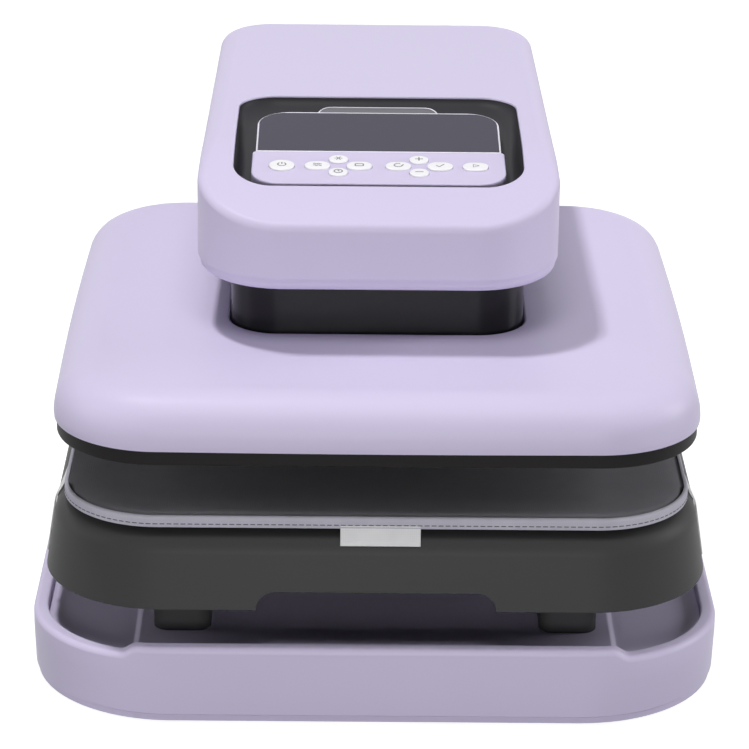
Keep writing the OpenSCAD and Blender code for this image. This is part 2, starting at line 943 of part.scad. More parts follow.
// Each button: name, place across, place up the slope, width, depth
BUTTONS = [
    ["power_button", -single_x, row_y, button_d, button_d],
    ["left_pad_left", -cluster_x - cluster_half_w, row_y, oval_button_w, small_button_d],
    ["left_pad_back", -cluster_x, row_y + cluster_half_d, small_button_d, small_button_d],
    ["left_pad_front", -cluster_x, row_y - cluster_half_d, small_button_d, small_button_d],
    ["left_pad_right", -cluster_x + cluster_half_w, row_y, oval_button_w, small_button_d],
    ["right_pad_left", cluster_x - cluster_half_w, row_y, oval_button_w, small_button_d],
    ["right_pad_back", cluster_x, row_y + cluster_half_d, small_button_d, small_button_d],
    ["right_pad_front", cluster_x, row_y - cluster_half_d, small_button_d, small_button_d],
    ["right_pad_right", cluster_x + cluster_half_w, row_y, oval_button_w, small_button_d],
    ["start_button", single_x, row_y, oval_button_w, small_button_d]
];
function button_named(name) = [for (b = BUTTONS) if (b[0] == name) b][0];

module button_outline(b, gap) {
    translate([b[1], b[2]])
        rounded(b[3] + 2 * gap, b[4] + 2 * gap, b[4] / 2 + gap - 0.01);
}

stem_d = 3.6;
stem_gap = 0.15;
button_flange = 0.8;
button_flange_t = 1.2;
board_lift = 2.4;
board_t = 1.6;
board_gap = 3;
board_r = 16;
tact_w = 6;
tact_h = 0.9;
z_board = -console_t + board_lift;
z_board_top = z_board + board_t;

module button(name) {
    b = button_named(name);
    z_flange = -console_top_t - fit_gap - button_flange_t;
    z_stem = z_board_top + tact_h + button_travel + stem_gap;
    color(white)
    on_panel() {
        translate([0, 0, z_flange])
            linear_extrude(button_rise - z_flange)
                button_outline(b, -slide_gap);
        translate([0, 0, z_flange])
            linear_extrude(button_flange_t)
                button_outline(b, button_flange);
        translate([b[1], b[2], z_stem])
            cylinder(d = stem_d, h = z_flange + button_flange_t - z_stem);
    }
}

boss_d = 6;
boss_in = 24;
boss_front = 7;
boss_back = 4.5;

module at_bosses() {
    for (sx = [-1, 1], y = [boss_front, console_d - boss_back])
        translate([sx * (display_w / 2 - boss_in), y, 0])
            children();
}

module control_console() {
    color(lavender)
    on_panel()
        difference() {
            union() {
                difference() {
                    translate([0, 0, -console_t])
                        linear_extrude(console_t)
                            console_outline(0);
                    translate([0, 0, -console_t - cut])
                        linear_extrude(console_t - console_top_t + cut)
                            console_outline(console_wall);
                }
                at_bosses()
                    translate([0, 0, z_board_top])
                        cylinder(d = boss_d, h = -z_board_top - cut);
            }
            translate([0, 0, -lens_t])
                linear_extrude(lens_t + cut)
                    lens_outline(fit_gap / 2);
            translate([0, lens_y, -console_t])
                slab(lens_w - 2 * lens_seat, lens_d - 2 * lens_seat, console_t + cut, window_r);
            for (b = BUTTONS)
                translate([0, 0, -console_top_t - cut])
                    linear_extrude(console_top_t + 2 * cut)
                        button_outline(b, 0);
        }
}

module display_lens() {
    color(graphite)
    on_panel()
        translate([0, 0, -lens_t])
            linear_extrude(lens_t)
                lens_outline(0);
}

module display_module() {
    in = lens_seat + window_gap;
    color(steel)
    on_panel()
        translate([0, lens_y, z_board_top])
            slab(lens_w - 2 * in, lens_d - 2 * in, -z_board_top - lens_t - fit_gap, window_r - window_gap);
}

plug_w = 24;
plug_d = 6;
plug_x = 30;

// The board with a switch under each button and two plugs that stand on the bezel
module control_board() {
    in = console_wall + board_gap;
    color(board_green)
    on_panel() {
        translate([0, console_d / 2, z_board])
            slab(display_w - 2 * in, console_d - 2 * console_wall - board_gap, board_t, board_r);
        for (b = BUTTONS)
            translate([b[1] - tact_w / 2, b[2] - tact_w / 2, z_board_top])
                cube([tact_w, tact_w, tact_h]);
        for (sx = [-1, 1])
            translate([sx * plug_x - plug_w / 2, plug_d, -console_t])
                cube([plug_w, plug_d, board_lift]);
    }
}

scoop_w = 84;
scoop_d = 11;
scoop_h = 5;

// The pale finger rest behind the console
module grip_scoop() {
    color(silver)
    on_panel()
        translate([0, console_d + 1, -recess_depth])
            intersection() {
                slab(scoop_w, 2 * scoop_d, scoop_h, scoop_d - 0.01);
                translate([-scoop_w, 0, 0])
                    cube([2 * scoop_w, 2 * scoop_d, scoop_h]);
            }
}

// Drive

screw_foot_gap = 3;
pulley_lift = 2;
pulley_flange_t = 0.8;
belt_play = 0.4;
z_pulley = z_crosshead_top + pulley_lift;
pulley_h = belt_w + 2 * pulley_flange_t + 2 * belt_play;
z_pulley_top = z_pulley + pulley_h;
shoulder_t = 5;
shoulder_d = screw_d + 8;

module screw_bearing() {
    color(steel)
    translate([0, press_y, z_crosshead])
        difference() {
            cylinder(d = bearing_d, h = crosshead_t);
            translate([0, 0, -cut])
                cylinder(d = screw_d + 2 * run_gap, h = crosshead_t + 2 * cut);
        }
}

module lead_screw() {
    z_screw = z_carriage_top + screw_foot_gap;
    color(steel)
    translate([0, press_y, 0]) {
        translate([0, 0, z_screw])
            cylinder(d = screw_d, h = z_pulley_top - z_screw);
        translate([0, 0, z_crosshead - fit_gap - shoulder_t])
            cylinder(d = shoulder_d, h = shoulder_t);
    }
}

// A flanged pulley with a bore
module pulley(bore) {
    difference() {
        union() {
            cylinder(d = pulley_d, h = pulley_h);
            for (z = [0, pulley_h - pulley_flange_t])
                translate([0, 0, z])
                    cylinder(d = pulley_d + 2 * belt_t, h = pulley_flange_t);
        }
        translate([0, 0, -cut])
            cylinder(d = bore, h = pulley_h + 2 * cut);
    }
}

module screw_pulley() {
    color(silver)
    translate([0, press_y, z_pulley])
        pulley(screw_d);
}

shaft_d = 8;
shaft_in = 20;

module motor_pulley() {
    color(silver)
    translate([0, motor_y, 0]) {
        translate([0, 0, z_pulley])
            pulley(shaft_d);
        translate([0, 0, z_pulley - shaft_in])
            cylinder(d = shaft_d, h = shaft_in + pulley_h);
    }
}

// The belt runs round both pulleys between their flanges
module drive_belt() {
    color(black)
    translate([0, 0, z_pulley + pulley_flange_t + belt_play])
        linear_extrude(belt_w)
            difference() {
                belt_loop(pulley_d / 2 + slide_gap + belt_t);
                belt_loop(pulley_d / 2 + slide_gap);
            }
}

module belt_loop(r) {
    for (y = [press_y, motor_y])
        translate([0, y])
            circle(r);
    translate([-r, press_y])
        square([2 * r, motor_y - press_y]);
}

gearbox_h = 28;
motor_can_d = motor_d - 6;

module gear_motor() {
    color(steel)
    translate([0, motor_y, 0])
        difference() {
            union() {
                translate([0, 0, z_crosshead - motor_len])
                    cylinder(d = motor_can_d, h = motor_len);
                translate([0, 0, z_crosshead - gearbox_h])
                    cylinder(d = motor_d, h = gearbox_h);
                translate([0, 0, z_crosshead - cut])
                    cylinder(d = motor_boss_d, h = crosshead_t + cut);
            }
            translate([0, 0, z_pulley - shaft_in - slide_gap])
                cylinder(d = shaft_d + 2 * run_gap, h = shaft_in + cut);
        }
}

bush_h = 18;

module guide_bushes() {
    color(bronze)
    at_guides()
        translate([0, 0, z_crosshead_top - bush_h])
            difference() {
                cylinder(d = bush_d, h = bush_h);
                translate([0, 0, -cut])
                    cylinder(d = guide_d + 2 * run_gap, h = bush_h + 2 * cut);
            }
}

// Platen: everything that comes down

hole_w = neck_w + 2 * neck_gap;
hole_d = neck_d + 2 * neck_gap;
edge_steps = 9;
crown_steps = 3;

// Outline of the platen at an inset from its edge
function platen_outline(in) =
    outline(platen_w - 2 * in - 2 * platen_bow, platen_d - 2 * in - 2 * platen_bow, platen_r - in, platen_bow);
function hole_outline() =
    [for (p = outline(hole_w, hole_d, neck_r + neck_gap, 0)) p + [0, press_y - platen_y]];

// Rings of the cover from its lower edge up the rounding and over the crown to the opening for the neck
function dome_rings(in, drop) =
    let (
        run = platen_edge_run - in,
        rise = platen_edge_h - drop,
        power = 2 / platen_fullness,
        shoulder = platen_outline(in + run)
    )
    concat(
        [for (i = [0:edge_steps])
            let (a = 90 * i / edge_steps)
            lift(platen_outline(in + run * (1 - pow(cos(a), power))), z_dome + rise * pow(sin(a), power))],
        [for (j = [1:crown_steps])
            let (t = j / crown_steps)
            lift(between(shoulder, hole_outline(), t), z_dome + rise + platen_crown * sin(90 * t))]
    );
function backwards(list) = [for (i = [len(list) - 1:-1:0]) list[i]];

module platen_cover() {
    rings = concat(dome_rings(0, 0), backwards(dome_rings(wall, wall)));
    color(lavender)
    translate([0, platen_y, 0])
        polyhedron(
            points = [for (r = rings) each r],
            faces = [for (f = band_faces(len(rings), outline_count, true)) f]
        );
}

plate_gap = 2;

module platen_rim() {
    in = platen_rim_in + platen_bow;
    color(black)
    difference() {
        translate([0, platen_y, z_rim])
            slab(platen_w - 2 * in, platen_d - 2 * in, platen_rim_h, platen_r - in);
        translate([0, press_y, z_rim - cut])
            slab(heat_plate_w + 2 * plate_gap, heat_plate_d + 2 * plate_gap, platen_rim_h + 2 * cut,
                 heat_plate_r + plate_gap);
    }
}

heat_plate_r = 36;
heater_runs = 6;
heater_sink = 0.5;
z_heater = z_plate_top - heater_d / 2 - heater_sink;

// The bends and runs of the heating tube in plan, each run a line across the plate
function run_y(i) = press_y + (i - (heater_runs - 1) / 2) * heater_pitch;

module heater_path(r, slot) {
    for (i = [0:heater_runs - 1])
        translate([-heater_run / 2, run_y(i), z_heater]) {
            rotate([0, 90, 0])
                cylinder(r = r, h = heater_run);
            if (slot)
                translate([0, -r, 0])
                    cube([heater_run, 2 * r, heater_d]);
        }
    for (i = [0:heater_runs - 2])
        translate([(i % 2 == 0 ? 1 : -1) * heater_run / 2, run_y(i) + heater_pitch / 2, z_heater])
            rotate([0, 0, i % 2 == 0 ? -90 : 90])
                rotate_extrude(angle = 180)
                    translate([heater_pitch / 2, 0]) {
                        circle(r);
                        if (slot)
                            translate([-r, 0])
                                square([2 * r, heater_d]);
                    }
}

module heat_plate() {
    color(graphite)
    difference() {
        translate([0, press_y, z_plate])
            slab(heat_plate_w, heat_plate_d, heat_plate_t, heat_plate_r);
        heater_path(heater_d / 2 + fit_gap, true);
    }
}

terminal_d = heater_d - 1;
terminal_h = 20;

module at_terminals(z) {
    for (i = [0, heater_runs - 1])
        translate([-heater_run / 2 + heater_d, run_y(i), z])
            children();
}

module heater_tube() {
    color(silver) {
        heater_path(heater_d / 2, false);
        at_terminals(z_heater)
            cylinder(d = terminal_d, h = terminal_h);
    }
}

stand_d = 16;
stand_h = 8;
stand_in = 14;
hole_gap = 0.5;
z_carriage = z_plate_top + stand_h;
carriage_t = 8;
carriage_gap = 12;
carriage_r = 12;
z_carriage_top = z_carriage + carriage_t;
carriage_w = neck_w - 2 * wall - 2 * carriage_gap;
carriage_d = neck_d - 2 * wall - 2 * carriage_gap;
STANDS = [for (sx = [-1, 1], sy = [-1, 1])
    [sx * (carriage_w / 2 - stand_in), press_y + sy * (carriage_d / 2 - stand_in)]];
cover_stand_d = 12;
cover_stand_past = 16;
cover_stand_in = platen_edge_run + cover_stand_past;
COVER_STANDS = [for (sx = [-1, 1], sy = [-1, 1])
    [sx * (platen_w / 2 - cover_stand_in), platen_y + sy * (platen_d / 2 - cover_stand_in)]];
probe_d = 9;
probe_h = 9;
probe_neck_d = 5;
probe_neck_h = 5;
probe_in = 40;
probe_at = [heat_plate_w / 2 - probe_in, press_y];

module insulation() {
    color(white)
    difference() {
        translate([0, press_y, z_plate_top])
            slab(heat_plate_w, heat_plate_d, blanket_t, heat_plate_r);
        for (p = STANDS)
            blanket_hole(p, stand_d);
        for (p = COVER_STANDS)
            blanket_hole(p, cover_stand_d);
        blanket_hole(probe_at, probe_d);
        at_terminals(z_plate_top - cut)
            cylinder(d = terminal_d + 2 * hole_gap, h = blanket_t + 2 * cut);
    }
}

module blanket_hole(p, d) {
    translate([p[0], p[1], z_plate_top - cut])
        cylinder(d = d + 2 * hole_gap, h = blanket_t + 2 * cut);
}

module press_standoffs() {
    color(steel)
    for (p = STANDS)
        translate([p[0], p[1], z_plate_top])
            cylinder(d = stand_d, h = z_carriage - z_plate_top);
}

// Spacers that hold the cover over the heat plate
module cover_standoffs() {
    color(silver)
    for (p = COVER_STANDS)
        translate([p[0], p[1], z_plate_top])
            cylinder(d = cover_stand_d, h = z_dome + platen_edge_h - wall - fit_gap - z_plate_top);
}

module temperature_probe() {
    color(silver)
    translate([probe_at[0], probe_at[1], z_plate_top]) {
        cylinder(d = probe_d, h = probe_h);
        cylinder(d = probe_neck_d, h = probe_h + probe_neck_h);
    }
}

nut_d = 36;
nut_flange_t = 6;
nut_h = 24;
tube_d = 50;
nut_gap = 14;
z_nut = z_crosshead - nut_gap;

module press_carriage() {
    color(steel)
    translate([0, press_y, 0])
        difference() {
            union() {
                translate([0, 0, z_carriage])
                    slab(carriage_w, carriage_d, carriage_t, carriage_r);
                translate([0, 0, z_carriage_top])
                    cylinder(d = tube_d, h = z_nut - nut_flange_t - z_carriage_top);
            }
            translate([0, 0, z_carriage_top])
                cylinder(d = nut_d, h = z_nut);
        }
}

module lead_nut() {
    color(bronze)
    translate([0, press_y, 0])
        difference() {
            union() {
                translate([0, 0, z_nut - nut_flange_t])
                    cylinder(d = tube_d, h = nut_flange_t);
                translate([0, 0, z_nut - nut_h])
                    cylinder(d = nut_d - 2 * run_gap, h = nut_h);
            }
            translate([0, 0, z_nut - nut_h - cut])
                cylinder(d = screw_d + 2 * run_gap, h = nut_h + 2 * cut);
        }
}

guide_hold = 10;
z_guide_top = z_crosshead_top - bush_h + press_travel + guide_hold;

module guide_posts() {
    color(silver)
    at_guides()
        translate([0, 0, z_carriage_top])
            cylinder(d = guide_d, h = z_guide_top - z_carriage_top);
}

// Drawer

rail_h = 15;
rail_t = 2;
rail_lift = 8;
rail_clear = 2.6;
shell_floor_t = 5;
rib_margin = 2;
slide_setback = 44;
post_ahead = 5;
post_inset = 30;
slide_len = drawer_travel / 2 + slide_overlap;
post_r = 10;
back_post_in = 20;
z_rail = z_drawer + rail_lift;
z_rail_top = z_rail + rail_h;
z_shell_floor = z_drawer_top - deck_plate_t - shell_floor_t;
rib_w = slide_w + 2 * rib_margin;
slide_front = drawer_y - drawer_d / 2 + slide_setback;
// The front posts stand under the slides' front ends and clear of the rim
post_front = max(slide_front - post_ahead, front_y + rim_w + post_inset);
post_back = slide_front + slide_len - post_d - back_post_in;

module drawer_shell() {
    skirt = z_shell_floor - z_drawer;
    skirt_in = drawer_draft + wall;
    color(graphite)
    difference() {
        translate([0, drawer_y, z_drawer])
            soft_block(drawer_w, drawer_d, drawer_h, drawer_r, drawer_round, drawer_draft);
        difference() {
            translate([0, drawer_y, z_drawer - cut])
                slab(drawer_w - 2 * skirt_in, drawer_d - 2 * skirt_in, skirt + cut, drawer_r - skirt_in);
            for (s = [-1, 1])
                translate([s * slide_x - rib_w / 2, drawer_y - drawer_d / 2, z_rail_top])
                    cube([rib_w, drawer_d, skirt]);
        }
        translate([0, mat_y, z_drawer_top - deck_plate_t])
            slab(deck_plate_w + 2 * fit_gap, deck_plate_d + 2 * fit_gap, deck_plate_t + cut,
                 deck_plate_r + fit_gap);
        translate([0, drawer_y - drawer_d / 2 + skirt_in + wall, z_drawer])
            rotate([90, 0, 0])
                linear_extrude(skirt_in + 2 * wall)
                    pull_outline();
        for (s = [-1, 1])
            translate([s * slide_x - rib_w / 2, drawer_y, z_drawer - cut])
                cube([rib_w, drawer_d, z_rail_top - z_drawer + cut]);
    }
}

deck_plate_r = 56;

// The finger cut-out: straight, with its upper corners rounded
module pull_outline() {
    r = pull_h - cut;
    translate([-pull_w / 2, -cut])
        square([pull_w, pull_h - r + cut]);
    translate([-pull_w / 2 + r, -cut])
        square([pull_w - 2 * r, pull_h + cut]);
    for (s = [-1, 1])
        translate([s * (pull_w / 2 - r), pull_h - r])
            circle(r);
}

module deck_plate() {
    color(steel)
    translate([0, mat_y, z_drawer_top - deck_plate_t])
        slab(deck_plate_w, deck_plate_d, deck_plate_t, deck_plate_r);
}

mat_soft = 4;
mat_under = 6;
mat_seam_h = 4;
mat_steps = 5;
// Where a strap or tag comes out from under the mat's edge
mat_edge = mat_under / 2;

// Rings of the mat: undercut below its seam, a rounded side that draws in between the corners, a low crown
function mat_ring(in, z) =
    lift(outline(mat_w - 2 * in, mat_d - 2 * in, mat_r - in, -mat_draw), z);
function mat_rings() =
    let (
        body = mat_t - mat_crown,
        last = outline(mat_w - 4 * mat_soft, mat_d - 4 * mat_soft, mat_r - 2 * mat_soft, -mat_draw)
    )
    concat(
        [mat_ring(mat_under, 0), mat_ring(0, mat_seam_h)],
        [for (i = [0:mat_steps])
            let (a = 90 * i / mat_steps)
            mat_ring(mat_soft * (1 - cos(a)), body - mat_soft + mat_soft * sin(a))],
        [for (t = [0.1, 0.35, 0.65])
            lift([for (p = last) p * (1 - t)], body + mat_crown * sin(90 * t / 0.65))]
    );

module press_mat() {
    rings = mat_rings();
    n = outline_count;
    last = (len(rings) - 1) * n;
    color(cloth)
    translate([0, mat_y, z_mat])
        polyhedron(
            points = [for (r = rings) each r],
            faces = concat(
                band_faces(len(rings), n, false),
                [[for (k = [0:n - 1]) k]],
                [[for (k = [n - 1:-1:0]) last + k]]
            )
        );
}

// The drawer's section at one side, grown by a gap: flat top, rounded edge, leaning skirt
module drawer_section(half, o) {
    tilt = atan2(drawer_draft, drawer_h);
    h = drawer_h + 2 * o;
    translate([0, z_drawer - o])
        edge_section(half + o / cos(tilt) + o * tan(tilt), h, drawer_round + o, h * tan(tilt));
}

// A band that lies over the drawer's edge, from a distance out to its lower end
module edge_band(half, t, from, low) {
    intersection() {
        difference() {
            drawer_section(half, fit_gap + t);
            drawer_section(half, fit_gap);
        }
        translate([from, low])
            square([2 * half, drawer_h * 2]);
    }
}

strap_hook = 10;

module mat_straps() {
    from = mat_w / 2 - mat_edge;
    color(white)
    for (s = [0, 180], sy = [-1, 1])
        translate([0, mat_y + sy * strap_y + strap_w / 2, 0])
            rotate([90, 0, 0])
                linear_extrude(strap_w)
                    mirror([s == 0 ? 0 : 1, 0])
                        edge_band(drawer_w / 2, strap_t, from, z_drawer - strap_hook);
}

module mat_tag() {
    from = mat_d / 2 - mat_draw - mat_edge;
    color(white)
    translate([-tag_w / 2, drawer_y, 0])
        rotate([90, 0, 90])
            linear_extrude(tag_w)
                mirror([1, 0])
                    edge_band(drawer_d / 2, tag_t, from, z_drawer_top - tag_drop);
}

module support_posts() {
    color(graphite)
    for (s = [-1, 1], y = [post_front, post_back])
        translate([s * slide_x, y + post_d / 2, z_deck])
            slab(post_w, post_d, z_rail - z_deck, post_r);
}

// One member of a slide, drawn as its section and carried along the slide
module along_slides() {
    color(steel)
    for (s = [-1, 1])
        translate([s * slide_x, slide_front + slide_len, z_rail])
            rotate([90, 0, 0])
                linear_extrude(slide_len)
                    children();
}

// A channel that opens upwards between two lips
module channel(w, z, h, t, mouth) {
    difference() {
        translate([-w / 2, z])
            square([w, h]);
        translate([-w / 2 + t, z + t])
            square([w - 2 * t, h - 2 * t]);
        translate([-mouth / 2, z + h - t - cut])
            square([mouth, t + 2 * cut]);
    }
}

nest = rail_t + slide_gap;
lip_hold = 4;
outer_h = rail_h - rail_clear;
mid_w = slide_w - 2 * nest;
mid_h = outer_h - 2 * nest;
in_w = mid_w - 2 * nest;
in_h = mid_h - 2 * nest;
mouth = in_w - 2 * lip_hold;

module slide_outer() {
    along_slides()
        channel(slide_w, 0, outer_h, rail_t, mouth);
}

module slide_middle() {
    along_slides()
        channel(mid_w, nest, mid_h, rail_t, mouth);
}

module slide_inner() {
    along_slides() {
        translate([-in_w / 2, 2 * nest])
            square([in_w, in_h]);
        translate([-mouth / 2 + 2 * slide_gap, 2 * nest])
            square([mouth - 4 * slide_gap, rail_h - 2 * nest]);
    }
}

feeler_w = 22;
feeler_h = 12;
feeler_lift = 6;
feeler_gap = 1.5;

module drawer_sensor() {
    y0 = drawer_y + drawer_d / 2 + feeler_gap;
    color(black)
    translate([-feeler_w / 2, y0, z_drawer + feeler_lift])
        cube([feeler_w, column_front - y0, feeler_h]);
}

power_board_lift = 20;
power_board_h = 70;
chip_z = 14;
chip_w = 28;
// Each large piece on the power board: place across, depth, height
CHIPS = [[-50, 12, 30], [-14, 14, 26], [24, 10, 36]];

module power_board() {
    color(board_green)
    translate([0, upright_front, z_leg + leg_h + power_board_lift]) {
        translate([-frame_gap / 2, 0, 0])
            cube([frame_gap, board_t, power_board_h]);
        for (c = CHIPS)
            translate([c[0], board_t, chip_z])
                cube([chip_w, c[1], c[2]]);
    }
}

base_cover();
base_pan();
rubber_feet();
frame_plates();
floor_plate();
frame_ties();
crosshead();
column_front_cover();
column_back_cover();
power_inlet();
switch_frame();
power_rocker();
head_top_cover();
head_bottom_cover();
neck();
panel_bezel();
grip_scoop();
control_console();
display_lens();
display_module();
control_board();
for (b = BUTTONS)
    button(b[0]);
screw_bearing();
lead_screw();
screw_pulley();
motor_pulley();
drive_belt();
gear_motor();
guide_bushes();
platen_cover();
platen_rim();
heat_plate();
heater_tube();
insulation();
press_standoffs();
cover_standoffs();
temperature_probe();
press_carriage();
lead_nut();
guide_posts();
drawer_shell();
deck_plate();
press_mat();
mat_straps();
mat_tag();
support_posts();
slide_outer();
slide_middle();
slide_inner();
drawer_sensor();
power_board();
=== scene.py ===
"""Look of an automatic heat press with a pull-out drawer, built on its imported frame.

Sizes are millimetres and turn into metres where a mesh is made. The main sizes come from the frame's
nodes, and each class adds the radii, lips and gaps that a box doesn't give. A profile is a row of pairs
of inset and height, and the comment over it says from which line and level they count.
"""

from __future__ import annotations

import json
import logging
import math
from collections.abc import Sequence
from dataclasses import dataclass, field
from enum import Enum
from typing import Any

import bpy
import numpy as np
from mathutils import Matrix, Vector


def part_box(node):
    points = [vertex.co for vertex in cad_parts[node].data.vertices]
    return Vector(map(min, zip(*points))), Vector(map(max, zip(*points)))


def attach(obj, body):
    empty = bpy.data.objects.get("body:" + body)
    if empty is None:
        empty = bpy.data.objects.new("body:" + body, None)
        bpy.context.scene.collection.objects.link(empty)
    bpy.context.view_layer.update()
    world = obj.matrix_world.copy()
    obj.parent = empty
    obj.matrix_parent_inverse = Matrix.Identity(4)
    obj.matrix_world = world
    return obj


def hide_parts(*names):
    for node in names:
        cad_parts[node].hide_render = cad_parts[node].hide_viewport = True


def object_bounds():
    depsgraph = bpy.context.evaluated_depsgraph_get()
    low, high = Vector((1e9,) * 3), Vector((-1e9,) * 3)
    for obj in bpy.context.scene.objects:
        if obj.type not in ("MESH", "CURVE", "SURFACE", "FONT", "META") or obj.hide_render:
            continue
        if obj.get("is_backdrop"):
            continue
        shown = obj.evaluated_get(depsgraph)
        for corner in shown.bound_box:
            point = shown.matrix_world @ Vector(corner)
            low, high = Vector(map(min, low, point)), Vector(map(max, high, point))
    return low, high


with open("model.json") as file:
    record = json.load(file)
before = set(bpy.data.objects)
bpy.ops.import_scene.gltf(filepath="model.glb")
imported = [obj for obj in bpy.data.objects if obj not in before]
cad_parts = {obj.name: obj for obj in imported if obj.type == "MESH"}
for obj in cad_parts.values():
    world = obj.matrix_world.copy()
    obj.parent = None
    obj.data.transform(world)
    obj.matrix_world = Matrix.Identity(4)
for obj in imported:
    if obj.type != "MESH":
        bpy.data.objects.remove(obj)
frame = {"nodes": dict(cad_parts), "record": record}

log = logging.getLogger("heat_press")
Array = np.ndarray
Socket = bpy.types.NodeSocket
Pair = tuple[float, float]
Triple = tuple[float, float, float]
Profile = Sequence[Pair]
MM = 0.001
UP = np.array((0.0, 0.0, 1.0))
WHITE = (1.0, 1.0, 1.0, 1.0)


class Body(str, Enum):
    """Bodies of the large pieces; a button's body has the name of its node."""

    HOUSING = "housing"
    DRAWER = "drawer"
    PLATEN = "platen"


class Slot(str, Enum):
    """Material slots of the part."""

    LAVENDER = "lavender_plastic"
    GRAPHITE = "graphite_plastic"
    GLOSS = "black_gloss"
    BLACK = "black_plastic"
    LENS = "smoked_lens"
    BUTTON = "white_buttons"
    GRIP = "pale_grip"
    BOARD = "board"
    STEEL = "steel"
    ALUMINIUM = "aluminium"
    COATED = "coated_aluminium"
    BRONZE = "bronze"
    MAT = "mat_cloth"
    CLOTH = "white_cloth"
    RUBBER = "feet_rubber"


class Grain(str, Enum):
    """Surface effects, each a shader node group."""

    MOULDED = "mould_grain"
    WOVEN = "plain_weave"
    BRUSHED = "brushed_lines"


class Sign(Enum):
    """Generic marks printed on the button caps."""

    POWER = "power"
    CLOCK = "clock"
    SUN = "sun"
    WAVE = "wave"
    FRAME = "frame"
    PLUS = "plus"
    MINUS = "minus"
    LOOP = "loop"
    TICK = "tick"
    ARROW = "arrow"


def ease(low: float, high: float, value: Array) -> Array:
    """Rise from 0 to 1 between low and high, level at both ends."""
    t = np.clip((value - low) / (high - low), 0, 1)
    return t * t * (3 - 2 * t)


def unit(vectors: Array) -> Array:
    """Vectors scaled to length one."""
    return vectors / np.linalg.norm(vectors, axis=-1, keepdims=True)


def rays(angles: Array) -> Array:
    """Plane directions of length one at the given angles in radians."""
    return np.column_stack((np.cos(angles), np.sin(angles)))


def circle(radius: float, sides: int) -> Array:
    """Points of a round section, anticlockwise."""
    return radius * rays(np.radians(np.linspace(0, 360, sides + 1)[:-1]))


def shifted(profile: Profile, inset: float | Array, level: float | Array) -> list[Pair]:
    """A profile moved inwards and up."""
    return [(inset + aside, level + height) for aside, height in profile]


def between(start: Array, stop: Array, shares: Array) -> Array:
    """Rings at the given shares of the way from one ring to another."""
    return start + (stop - start) * shares[:, None, None]


def resample(values: Array, run: Array, at: Array) -> Array:
    """Rows of values round a loop, read off at the given lengths of its run."""
    loop = np.vstack((values, values[:1]))
    return np.column_stack([np.interp(at, run, column) for column in loop.T])


def quarter_round(inset: float, top: float, radius: float, steps: int = 7) -> list[Pair]:
    """Profile of a rounded upper edge, a quarter circle from the wall to the flat.

    Args:
        inset: Inset of the wall.
        top: Level of the flat.
        radius: Radius of the edge.
        steps: Steps in the quarter circle.

    Returns:
        Pairs of inset and height.
    """
    angle = np.radians(np.linspace(0, 90, steps + 1))
    return list(zip(inset + radius * (1 - np.cos(angle)), top - radius * (1 - np.sin(angle))))


@dataclass(frozen=True)
class Box:
    """Corners of a frame node at rest."""

    low: Array
    high: Array

    @classmethod
    def of(cls, node: str) -> Box:
        """The box of the named node."""
        low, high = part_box(node)
        return cls(np.array(low) / MM, np.array(high) / MM)

    @property
    def size(self) -> Array:
        """Width, depth and height."""
        return self.high - self.low

    @property
    def middle(self) -> Array:
        """Centre of the box."""
        return (self.high + self.low) / 2


